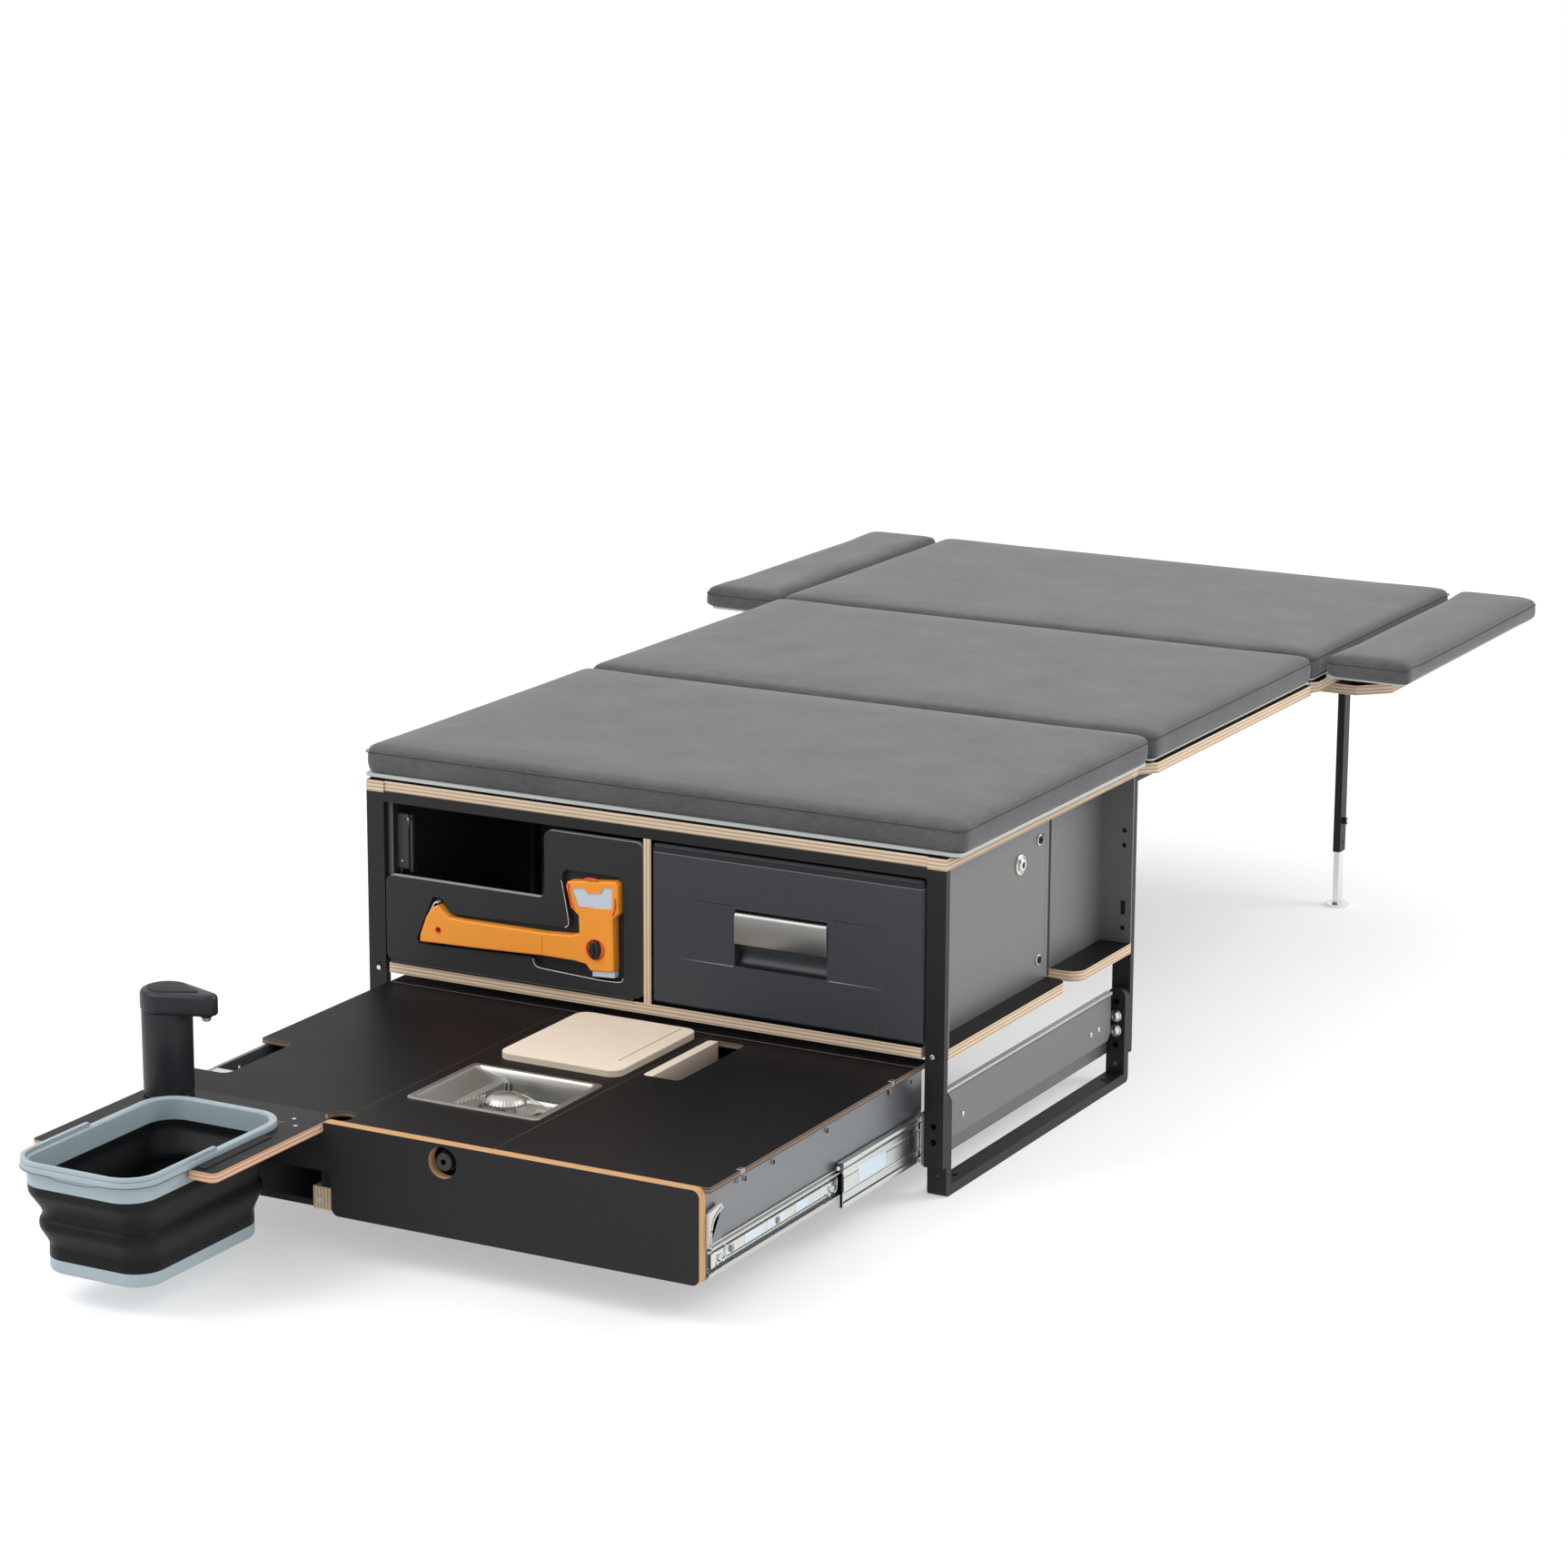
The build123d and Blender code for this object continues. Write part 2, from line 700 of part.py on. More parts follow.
# Side panels: sheets inside the posts with a flange behind the front post
panel_z = (shelf_z[1], board_low)
with BuildPart() as side_panels:
    slab(side_panel_x, side_panel_y, panel_z)
    slab((side_panel_x[0], box_half), (side_panel_y[0], side_panel_y[0] + rail_leaf), panel_z)
    rod_x(panel_bolt[0], panel_bolt[1], (side_panel_x[1], side_panel_x[1] + panel_bolt_head), panel_bolt_r)
    for y, z in panel_screws:
        rod_x(y, z, (side_panel_x[1], side_panel_x[1] + screw_head), screw_head_r)
    both_sides()
side_panels.part.label = "side_panels"
export_step(side_panels.part, "parts/side_panels.step")

with BuildPart() as rear_panels:
    slab(rear_panel_x, rear_panel_y, panel_z)
    slab((rear_panel_x[0], box_half), (rear_panel_y[1] - rail_leaf, rear_panel_y[1]), panel_z)
    for z in panel_holes_z:
        rod_y(panel_hole_x, z, (rear_panel_y[0], rear_panel_y[1] + over), panel_hole_r, Mode.SUBTRACT)
    slab((panel_hole_x - panel_hole_r, panel_hole_x + panel_hole_r),
         (rear_panel_y[0], rear_panel_y[1] + over), panel_slot_z, Mode.SUBTRACT)
    both_sides()
    slab((-post_in + fit_gap, post_in - fit_gap), back_panel_y, (shelf_z[1], board_low - rail_leaf))
rear_panels.part.label = "rear_panels"
export_step(rear_panels.part, "parts/rear_panels.step")

with BuildPart() as divider:
    slab(divider_x, (rail_leaf, divider_rear), divider_z)
    slab(divider_x, (0, rail_leaf), (divider_z[0], board_low - rail_drop))
divider.part.label = "divider"
export_step(divider.part, "parts/divider.step")


# Telescopic slides: channels that run inside each other
def channel(x, z, y, opens_in):
    """C-section along y between the spans x and z, open towards the drawer or away from it."""
    slab(x, y, z)
    inner_x_span = (x[0] - over, x[1] - slide_skin) if opens_in else (x[0] + slide_skin, x[1] + over)
    slab(inner_x_span, (y[0] - over, y[1] + over), (z[0] + slide_skin, z[1] - slide_skin), Mode.SUBTRACT)


with BuildPart() as slide_outers:
    channel(outer_x, outer_z, outer_y, True)
    both_sides()
slide_outers.part.label = "slide_outers"
export_step(slide_outers.part, "parts/slide_outers.step")

middle_z = (outer_z[0] + slide_skin + slide_play, outer_z[1] - slide_skin - slide_play)
web_mid_z = (inner_z[0] + inner_z[1]) / 2
with BuildPart() as slide_middles:
    channel(middle_x, middle_z, middle_y, True)
    for z in ((middle_z[0] + groove_at[0], middle_z[0] + groove_at[1]),
              (middle_z[1] - groove_at[1], middle_z[1] - groove_at[0])):
        slab((middle_x[1] - groove_sunk, middle_x[1] + over), middle_y, z, Mode.SUBTRACT)
    for share in slide_slot_share:
        y = middle_y[0] + (middle_y[1] - middle_y[0]) * share
        slab((middle_x[0] - over, middle_x[1] + over), (y - slide_slot[0] / 2, y + slide_slot[0] / 2),
             (web_mid_z - slide_slot[1] / 2, web_mid_z + slide_slot[1] / 2), Mode.SUBTRACT)
    slab(race_x, middle_y, (inner_z[1] + slide_play, middle_z[1] - slide_skin))
    slab(race_x, middle_y, (middle_z[0] + slide_skin, inner_z[0] - slide_play))
    both_sides()
slide_middles.part.label = "slide_middles"
export_step(slide_middles.part, "parts/slide_middles.step")

with BuildPart() as slide_inners:
    channel(inner_x, inner_z, inner_y, False)
    web_out = inner_x[0] + slide_skin
    slab((web_out, web_out + bead_rise), inner_y, (web_mid_z - bead_high / 2, web_mid_z + bead_high / 2))
    for share in slide_slot_share:
        y = inner_y[0] + (inner_y[1] - inner_y[0]) * share
        slab((inner_x[0] - over, web_out + over), (y - slide_slot[0] / 2, y + slide_slot[0] / 2),
             (web_mid_z - slide_slot[1] / 2, web_mid_z + slide_slot[1] / 2), Mode.SUBTRACT)
    for share in slide_screw_share:
        y = inner_y[0] + (inner_y[1] - inner_y[0]) * share
        rod_x(y, web_mid_z, (web_out, web_out + bead_rise + screw_head), slide_screw_r)
    slab((web_out, inner_x[1] - slide_skin), (inner_y[0], inner_y[0] + stop_long),
         (web_mid_z - stop_high / 2, web_mid_z + stop_high / 2))
    both_sides()
slide_inners.part.label = "slide_inners"
export_step(slide_inners.part, "parts/slide_inners.step")

# Drawer box
drawer_y = (drawer_out, drawer_rear)
with BuildPart() as drawer_sides:
    slab(side_x, drawer_y, side_z)
    for y in side_holes_y:
        rod_x(y, side_hole_z, (side_x[0] - over, side_x[1] + over), side_hole_r, Mode.SUBTRACT)
    slab((side_x[1], side_x[1] + bracket_thick), bracket_y, bracket_z)
    slab((side_x[1], side_x[1] + bracket_thick), (drawer_y[0], bracket_y[1]),
         (inner_z[1] + fit_gap, bracket_z[0]))
    both_sides()
    slab((-side_x[1] - over, -side_x[0] + over), (drawer_y[0] - over, fork_y[1] + fork_gap),
         (fork_z[0], side_z[1] + over), Mode.SUBTRACT)
drawer_sides.part.label = "drawer_sides"
export_step(drawer_sides.part, "parts/drawer_sides.step")

with BuildPart() as drawer_floor:
    slab((-side_x[0], side_x[0]), drawer_y, floor_z)
    slab((-side_x[0], side_x[0]), (drawer_y[1] - back_thick, drawer_y[1]), side_z)
drawer_floor.part.label = "drawer_floor"
export_step(drawer_floor.part, "parts/drawer_floor.step")

front_y = (drawer_y[0] - panel_thick, drawer_y[0])
front_points = ((front_half, front_low), (front_half, front_top), (front_step_x, front_top),
                (front_step_x, front_step_z), (-front_half, front_step_z), (-front_half, notch_z),
                (notch_x, notch_z), (notch_x, front_low))
with BuildPart() as drawer_front:
    cut_front(front_points, front_y)
    corners = drawer_front.edges().filter_by(Axis.Y)
    fillet(corners.filter_by(lambda e: e.center().X > front_half - fit_gap
                             or abs(e.center().X - notch_x) < fit_gap), front_corner)
    rod_y(knob_at[0], knob_at[1], (front_y[0] - over, front_y[1] + over), knob_hole_r, Mode.SUBTRACT)
drawer_front.part.label = "drawer_front"
export_step(drawer_front.part, "parts/drawer_front.step")

# Partitions, the strip beside the right one, and the fixed rail behind the lids
part_y = (drawer_y[0], drawer_y[1] - back_thick)
with BuildPart() as drawer_partitions:
    slab(part_left_x, part_y, (floor_z[1], part_top))
    slab(part_right_x, part_y, (floor_z[1], lid_z[0]))
    slab((-lid_half, lid_half), rear_rail_y, lid_z)
    slab((part_right_x[1], strip_x), strip_y, (strip_low, lid_z[0] - fit_gap))
drawer_partitions.part.label = "drawer_partitions"
export_step(drawer_partitions.part, "parts/drawer_partitions.step")

# Worktop lids
with BuildPart() as lid_left:
    slab((-lid_half, seam_left - lid_gap), (lid_left_front, lid_rear), lid_z)
    slab((notch_left_x[0] - notch_corner, notch_left_x[1]), notch_left_y, (lid_z[0] - over, lid_z[1] + over),
         Mode.SUBTRACT, notch_corner - fit_gap)
    rod_z(finger_at[0], finger_at[1], (lid_z[0] - over, lid_z[1] + over), finger_r, Mode.SUBTRACT)
lid_left.part.label = "lid_left"
export_step(lid_left.part, "parts/lid_left.step")

with BuildPart() as lid_middle:
    slab((seam_left + lid_gap, seam_right - lid_gap), (lid_front, lid_rear), lid_z)
    slab((tray_x[0] + tray_lip, tray_x[1] - tray_lip), (tray_y[0] + tray_lip, tray_y[1] - tray_lip),
         (lid_z[0] - over, lid_z[1] + over), Mode.SUBTRACT, tray_corner - tray_lip)
    rod_z(finger_at[0], finger_at[1], (lid_z[0] - over, lid_z[1] + over), finger_r, Mode.SUBTRACT)
lid_middle.part.label = "lid_middle"
export_step(lid_middle.part, "parts/lid_middle.step")

with BuildPart() as lid_right:
    slab((seam_right + lid_gap, lid_half), (lid_front, lid_rear), lid_z)
    fillet(lid_right.edges().filter_by(Axis.Z).sort_by(Axis.X)[-2:].sort_by(Axis.Y)[0], lid_corner)
    slab(slot_x, slot_y, (lid_z[0] - over, lid_z[1] + over), Mode.SUBTRACT, slot_corner)
    for y in clip_cut_y:
        slab((lid_half - clip_cut[0], lid_half + over), (y - clip_cut[1] / 2, y + clip_cut[1] / 2),
             (lid_z[0] - over, lid_z[1] + over), Mode.SUBTRACT)
lid_right.part.label = "lid_right"
export_step(lid_right.part, "parts/lid_right.step")

# Stove: a pressed tray let into the middle lid
tray_in_x = (tray_x[0] + tray_lip + fit_gap, tray_x[1] - tray_lip - fit_gap)
tray_in_y = (tray_y[0] + tray_lip + fit_gap, tray_y[1] - tray_lip - fit_gap)
tray_floor = lid_z[1] - tray_deep
with BuildPart() as stove_tray:
    slab(tray_x, tray_y, (lid_z[1], lid_z[1] + tray_lip_high), Mode.ADD, tray_corner)
    slab(tray_in_x, tray_in_y, (tray_floor, lid_z[1] + tray_lip_high), Mode.ADD, tray_corner - tray_lip)
    slab((tray_in_x[0] + tray_wall, tray_in_x[1] - tray_wall),
         (tray_in_y[0] + tray_wall, tray_in_y[1] - tray_wall), (tray_floor + tray_wall, lid_z[1] + over),
         Mode.SUBTRACT, tray_corner - tray_lip - tray_wall)
stove_tray.part.label = "stove_tray"
export_step(stove_tray.part, "parts/stove_tray.step")

tray_top = tray_floor + tray_wall


def pot_supports():
    """Four upright sheet arms, one on each side of the burner."""
    mid_x = stove_at[0] + (support_in + support_out) / 2
    mid_z = (tray_top + support_top) / 2
    arm_y = (stove_at[1] - support_thick / 2, stove_at[1] + support_thick / 2)
    arm_in = stove_at[0] + support_in
    arm_out = stove_at[0] + support_out
    points = ((arm_in, tray_top), (arm_out, tray_top), (arm_out, support_top),
              (arm_in, support_top - support_foot))
    with BuildPart() as arm:
        cut_front(points, arm_y)
        for dx, dz in ((-1, -1), (-1, 1), (1, -1), (1, 1)):
            rod_y(mid_x + dx * support_hole_r * 2, mid_z + dz * support_hole_r * 2, arm_y, support_hole_r,
                  Mode.SUBTRACT)
    axis = Axis((stove_at[0], place_y(stove_at[1]), 0), (0, 0, 1))
    for turn in support_turns:
        add(arm.part.rotate(axis, turn))


with BuildPart() as stove_burner:
    rod_z(stove_at[0], stove_at[1], (tray_top, tray_top + burner_high), burner_r)
    cap_low = tray_top + burner_high
    rod_z(stove_at[0], stove_at[1], (cap_low, cap_low + cap_high), cap_r)
    fillet(stove_burner.edges().group_by(Axis.Z)[-1], cap_round)
    with BuildSketch(Plane.XY.offset(cap_low)) as groove:
        with Locations((stove_at[0], place_y(stove_at[1]))):
            Circle(burner_r)
            Circle(cap_groove_r, mode=Mode.SUBTRACT)
    extrude(groove.sketch, amount=cap_groove_high, mode=Mode.SUBTRACT)
    rod_z(stove_at[0] + burner_r + spike_r, stove_at[1], (tray_top, cap_low + cap_high + spike_high), spike_r)
    rod_y(knob_at[0], knob_at[1], (knob_y[1], tray_in_y[0]), valve_r)
    pot_supports()
stove_burner.part.label = "stove_burner"
export_step(stove_burner.part, "parts/stove_burner.step")

# Stove knob in the drawer front's round opening
with BuildPart() as stove_knob:
    rod_y(knob_at[0], knob_at[1], (knob_y[0], knob_y[1] - fit_gap), knob_r)
    fillet(stove_knob.edges().sort_by(Axis.Y)[0], knob_round)
    rod_y(knob_at[0], knob_at[1], (knob_y[1] - knob_base_high, knob_y[1] - fit_gap), knob_base_r)
    with BuildSketch(front_plane(knob_y[0] + knob_round)) as ribs:
        with Locations(knob_at):
            with PolarLocations(knob_r, knob_ribs):
                Circle(knob_rib_r)
    extrude(ribs.sketch, amount=knob_y[0] + knob_round - knob_y[1] + fit_gap)
stove_knob.part.label = "stove_knob"
export_step(stove_knob.part, "parts/stove_knob.step")

with BuildPart() as cutting_board:
    slab(board_x, board_y, board_z, Mode.ADD, board_corner)
    fillet(cutting_board.edges().group_by(Axis.Z)[-1], board_round)
    groove_x = board_x[1] - board_groove_in
    slab((groove_x - board_groove_wide, groove_x),
         (board_y[0] + board_groove_ends[0], board_y[1] - board_groove_ends[1]),
         (board_z[1] - board_groove_deep, board_z[1] + over), Mode.SUBTRACT)
cutting_board.part.label = "cutting_board"
export_step(cutting_board.part, "parts/cutting_board.step")

# Fork tray: a plate with two arms that hold the bucket by its lip
arm_left = (fork_x[0], bucket_at[0] - rim_half[0] + rim_band_in - fork_gap)
arm_right = (bucket_at[0] + rim_half[0] - rim_band_in + fork_gap, fork_x[1])
fork_mouth = bucket_at[1] + rim_half[1] - rim_band_in + fork_gap
with BuildPart() as fork_tray:
    slab(fork_x, (fork_mouth, fork_y[1]), fork_z)
    slab(arm_left, (fork_y[0], fork_mouth), fork_z)
    slab(arm_right, (fork_y[0], fork_mouth), fork_z)
    rod_z(finger_at[0], finger_at[1], (fork_z[0] - over, fork_z[1] + over), finger_r, Mode.SUBTRACT)
    tip_r = (arm_right[1] - arm_right[0]) * fork_tip_share
    fillet(fork_tray.edges().filter_by(Axis.Z).group_by(Axis.Y)[0], tip_r)
fork_tray.part.label = "fork_tray"
export_step(fork_tray.part, "parts/fork_tray.step")


# Bucket: rim, folding wall and base, all rounded rectangles about one centre
def bucket_loop(half, corner, z):
    """Rounded rectangle about the bucket's middle at the height z."""
    with BuildSketch(Plane.XY.offset(z)) as loop:
        with Locations((bucket_at[0], place_y(bucket_at[1]))):
            RectangleRounded(2 * half[0], 2 * half[1], corner)
    return loop.sketch


def inset(half, by):
    """Half sizes drawn in by the same amount all round."""
    return (half[0] - by, half[1] - by)


band_half = inset(rim_half, rim_band_in)
rim_open = inset(band_half, rim_wall)
with BuildPart() as bucket_rim:
    extrude(bucket_loop(rim_half, rim_corner, rim_lip_low), amount=rim_top - rim_lip_low)
    extrude(bucket_loop(band_half, rim_corner - rim_band_in, rim_low), amount=rim_top - rim_low)
    fillet(bucket_rim.edges().group_by(Axis.Z)[-1], lip_over)
    extrude(bucket_loop(rim_open, rim_corner - rim_band_in - rim_wall, rim_low - over), amount=3 * over,
            mode=Mode.SUBTRACT)
bucket_rim.part.label = "bucket_rim"
export_step(bucket_rim.part, "parts/bucket_rim.step")


def fold_sizes(skin):
    """Half sizes, corner and height at each fold of the wall, inset by skin."""
    rows = []
    for down_share, in_share in wall_folds_share:
        z = rim_low + (base_z[1] - rim_low) * down_share
        hx = band_half[0] + (base_half[0] - band_half[0]) * in_share - skin
        hy = band_half[1] + (base_half[1] - band_half[1]) * in_share - skin
        corner = rim_corner - rim_band_in + (base_corner - rim_corner + rim_band_in) * in_share - skin
        rows.append(((hx, hy), corner, z))
    return rows


def fold_solid(skin, mode):
    """Stack of tapered rings from the rim down to the base."""
    rows = fold_sizes(skin)
    for (half_a, corner_a, z_a), (half_b, corner_b, z_b) in zip(rows[:-1], rows[1:]):
        loft([bucket_loop(half_a, corner_a, z_a), bucket_loop(half_b, corner_b, z_b)], ruled=True, mode=mode)


with BuildPart() as bucket_wall:
    fold_solid(0, Mode.ADD)
    fold_solid(wall_skin, Mode.SUBTRACT)
bucket_wall.part.label = "bucket_wall"
export_step(bucket_wall.part, "parts/bucket_wall.step")

with BuildPart() as bucket_base:
    extrude(bucket_loop(base_half, base_corner, base_z[0]), amount=base_z[1] - base_z[0])
    fillet(bucket_base.edges().group_by(Axis.Z)[0], base_edge_r)
    base_in = inset(base_half, wall_skin)
    extrude(bucket_loop(base_in, base_corner - wall_skin, base_z[0] + base_floor), amount=over,
            mode=Mode.SUBTRACT)
bucket_base.part.label = "bucket_base"
export_step(bucket_base.part, "parts/bucket_base.step")

# Bail: half a loop lying on the rim's front edge, hinged at the rim's sides
bail_half = inset(rim_half, bail_half_in)
bail_in = inset(bail_half, bail_wide)
with BuildPart() as bucket_bail:
    extrude(bucket_loop(bail_half, rim_corner - bail_half_in, bail_z[0]), amount=bail_z[1] - bail_z[0])
    extrude(bucket_loop(bail_in, rim_corner - bail_half_in - bail_wide, bail_z[0] - over), amount=3 * over,
            mode=Mode.SUBTRACT)
    slab((bucket_at[0] - over * 3, bucket_at[0] + over * 3), (bucket_at[1], bucket_at[1] + over * 4),
         (bail_z[0] - over, bail_z[1] + over), Mode.SUBTRACT)
    for x in ((bucket_at[0] - bail_half[0], bucket_at[0] - bail_in[0]),
              (bucket_at[0] + bail_in[0], bucket_at[0] + bail_half[0])):
        rod_x(bucket_at[1], (bail_z[0] + bail_z[1]) / 2, x, (bail_z[1] - bail_z[0]) / 2)
bucket_bail.part.label = "bucket_bail"
export_step(bucket_bail.part, "parts/bucket_bail.step")

# Tap: a round pump body with a swivelling head
with BuildPart() as tap_body:
    rod_z(tap_at[0], tap_at[1], (fork_z[1], fork_z[1] + tap_foot), tap_r)
    rod_z(tap_at[0], tap_at[1], (fork_z[1] + tap_foot, tap_body_top), tap_r - tap_step_in)
    fillet(tap_body.edges().group_by(Axis.Z)[-1], tap_round)
    rod_z(tap_at[0], tap_at[1], (tap_body_top, head_z[0] - fit_gap), tap_neck_r)
tap_body.part.label = "tap_body"
export_step(tap_body.part, "parts/tap_body.step")

with BuildPart() as tap_head:
    with BuildSketch(Plane.XY.offset(head_z[0])) as drop:
        with Locations((tap_at[0], place_y(tap_at[1]))):
            Circle(head_r)
        with Locations((tap_at[0] + spout_reach - spout_r, place_y(tap_at[1]))):
            Circle(spout_r)
        make_hull()
    extrude(drop.sketch, amount=head_z[1] - head_z[0])
    fillet(tap_head.edges().group_by(Axis.Z)[-1], spout_tip_r)
    fillet(tap_head.edges().group_by(Axis.Z)[0], spout_tip_r)
    tip_x = tap_at[0] + spout_reach - spout_r
    rod_z(tip_x, tap_at[1], (head_z[0] - collar_low, head_z[0] + spout_low), collar_r)
    rod_z(tip_x, tap_at[1], (head_z[0] - spout_low, head_z[0] + outlet_up), outlet_r, Mode.SUBTRACT)
    rod_z(tap_at[0], tap_at[1], (head_z[1] - button_well, head_z[1] + over), button_r + fit_gap,
          Mode.SUBTRACT)
tap_head.part.label = "tap_head"
export_step(tap_head.part, "parts/tap_head.step")

with BuildPart() as tap_button:
    rod_z(tap_at[0], tap_at[1], (head_z[1] - button_well + button_stroke, head_z[1] + button_high), button_r)
    fillet(tap_button.edges().group_by(Axis.Z)[-1], button_round)
tap_button.part.label = "tap_button"
export_step(tap_button.part, "parts/tap_button.step")

# Fridge: an insulated housing and a bin on a bevelled front
with BuildPart() as fridge_housing:
    slab(housing_x, housing_y, housing_z)
    slab((housing_x[0] + housing_wall, housing_x[1] - housing_wall),
         (housing_y[0] - over, housing_y[1] - housing_wall),
         (housing_z[0] + housing_wall, housing_z[1] - housing_wall), Mode.SUBTRACT)
fridge_housing.part.label = "fridge_housing"
export_step(fridge_housing.part, "parts/fridge_housing.step")

with BuildPart() as fridge_front:
    slab(fridge_x, fridge_y[:2], fridge_z)
    fillet(fridge_front.edges().filter_by(Axis.Y), fridge_corner)
    chamfer(fridge_front.faces().sort_by(Axis.Y)[0].edges(), fridge_bevel)
    slab(housing_x, fridge_y[1:], (fridge_z[0], fridge_z[1]))
    slab(handle_x, (-over, recess_deep), (recess_low, handle_z[1]), Mode.SUBTRACT)
    for x in ((handle_x[0] - fit_gap, handle_x[0] + latch_pin_long),
              (handle_x[1] - latch_pin_long, handle_x[1] + fit_gap)):
        rod_x(latch_axis[0], latch_axis[1], x, latch_pin_r)
fridge_front.part.label = "fridge_front"
export_step(fridge_front.part, "parts/fridge_front.step")

with BuildPart() as fridge_bin:
    bin_x = (housing_x[0] + housing_wall + bin_gap, housing_x[1] - housing_wall - bin_gap)
    bin_z = (housing_z[0] + housing_wall + fit_gap, housing_z[1] - housing_wall - bin_top_gap)
    slab(bin_x, bin_y, bin_z)
    slab((bin_x[0] + bin_wall, bin_x[1] - bin_wall), (bin_y[0] + bin_wall, bin_y[1] - bin_wall),
         (bin_z[0] + bin_wall, bin_z[1] + over), Mode.SUBTRACT)
fridge_bin.part.label = "fridge_bin"
export_step(fridge_bin.part, "parts/fridge_bin.step")

with BuildPart() as fridge_handle:
    slab((handle_x[0] + handle_gap, handle_x[1] - handle_gap), handle_y,
         (handle_z[0], handle_z[1] - handle_play))
    fillet(fridge_handle.edges().filter_by(Axis.X).group_by(Axis.Y)[0], handle_round)
    fillet(fridge_handle.edges().filter_by(Axis.Y), handle_round)
    rod_x(latch_axis[0], latch_axis[1], (handle_x[0], handle_x[1]), latch_pin_r + fit_gap, Mode.SUBTRACT)
fridge_handle.part.label = "fridge_handle"
export_step(fridge_handle.part, "parts/fridge_handle.step")

# Flap door: an L-shaped panel with a hollow shaped to the hatchet
door_points = ((door_x[0], door_z[0]), (door_x[1], door_z[0]), (door_x[1], door_z[1]),
               (door_step_x, door_z[1]), (door_step_x, door_step_z), (door_x[0], door_step_z))
lock_at = on_door((lock_share,))[0]
with BuildPart() as flap_door:
    cut_front(door_points, door_y, Mode.ADD, door_corner)
    cut_front(on_door(hollow_share), (door_y[0] - over, door_y[1] - door_back), Mode.SUBTRACT, hollow_round)
    rod_y(lock_at[0], lock_at[1], (door_y[0] - over, door_y[1] + over), stem_hole_r, Mode.SUBTRACT)
flap_door.part.label = "flap_door"
export_step(flap_door.part, "parts/flap_door.step")


def knuckles(first):
    """Every second knuckle along the hinge, starting at the count first."""
    count = int((door_x[1] - hinge_start) / hinge_knuckle)
    for k in range(first, count, 2):
        x0 = hinge_start + k * hinge_knuckle
        rod_x(hinge_axis[0], hinge_axis[1], (x0 + fit_gap, x0 + hinge_knuckle - fit_gap), hinge_r)
        yield x0


with BuildPart() as hinge_fixed:
    for x0 in knuckles(0):
        slab((x0 + fit_gap, x0 + hinge_knuckle - fit_gap), (0, hinge_leaf_wide),
             (shelf_z[1], shelf_z[1] + hinge_leaf))
hinge_fixed.part.label = "hinge_fixed"
export_step(hinge_fixed.part, "parts/hinge_fixed.step")

with BuildPart() as hinge_moving:
    for x0 in knuckles(1):
        slab((x0 + fit_gap, x0 + hinge_knuckle - fit_gap), (door_y[0], hinge_leaf_wide),
             (door_z[0] - hinge_leaf, door_z[0]))
hinge_moving.part.label = "hinge_moving"
export_step(hinge_moving.part, "parts/hinge_moving.step")

with BuildPart() as stay_case:
    slab(stay_x, stay_y, stay_z)
    fillet(stay_case.edges().filter_by(Axis.X), stay_round)
stay_case.part.label = "stay_case"
export_step(stay_case.part, "parts/stay_case.step")

with BuildPart() as stay_arm:
    slab(arm_x, (arm_pivot[0] - arm_wide / 2, arm_pivot[0] + arm_wide / 2),
         (arm_pivot[1] - arm_reach, arm_pivot[1]))
    rod_x(arm_pivot[0], arm_pivot[1], arm_x, arm_wide / 2)
stay_arm.part.label = "stay_arm"
export_step(stay_arm.part, "parts/stay_arm.step")

# Hatchet: shaped handle with its sheath, steel head, and the lock that holds it
with BuildPart() as hatchet_handle:
    cut_front(on_door(handle_share), handle_thick, Mode.ADD, handle_tip_r)
    fillet(hatchet_handle.faces().sort_by(Axis.Y)[0].edges(), handle_edge)
    hang_at = on_door((hang_share,))[0]
    rod_y(hang_at[0], hang_at[1], (-over, over), hang_hole_r, Mode.SUBTRACT)
    cut_front(on_door(blade_share), (handle_thick[0] - over, blade_y[1]), Mode.SUBTRACT, blade_round)
    rod_y(lock_at[0], lock_at[1], (handle_thick[0] - over, handle_thick[0] + lock_well), lock_well_r,
          Mode.SUBTRACT)
    rod_y(lock_at[0], lock_at[1], (-over, over), stem_hole_r, Mode.SUBTRACT)
hatchet_handle.part.label = "hatchet_handle"
export_step(hatchet_handle.part, "parts/hatchet_handle.step")

with BuildPart() as hatchet_head:
    cut_front(on_door(blade_share), blade_y, Mode.ADD, blade_round)
    cut_front(on_door(poll_share), poll_y)
hatchet_head.part.label = "hatchet_head"
export_step(hatchet_head.part, "parts/hatchet_head.step")

with BuildPart() as hatchet_lock:
    lock_y = (handle_thick[0] - lock_out, handle_thick[0] + lock_well - fit_gap)
    with BuildSketch(front_plane(lock_y[0])) as oval:
        with Locations(lock_at):
            Ellipse(lock_half[0], lock_half[1])
    extrude(oval.sketch, amount=lock_y[0] - lock_y[1])
    fillet(hatchet_lock.edges().sort_by(Axis.Y)[0], lock_grip[0])
    grip_x = (lock_at[0] - lock_grip[0] / 2, lock_at[0] + lock_grip[0] / 2)
    grip_z = (lock_at[1] - lock_grip[1] / 2, lock_at[1] + lock_grip[1] / 2)
    slab(grip_x, (lock_y[0] - lock_grip[0], lock_y[1]), grip_z)
    rod_y(lock_at[0], lock_at[1], (lock_y[1], stem_deep), lock_stem_r)
hatchet_lock.part.label = "hatchet_knob"
export_step(hatchet_lock.part, "parts/hatchet_knob.step")


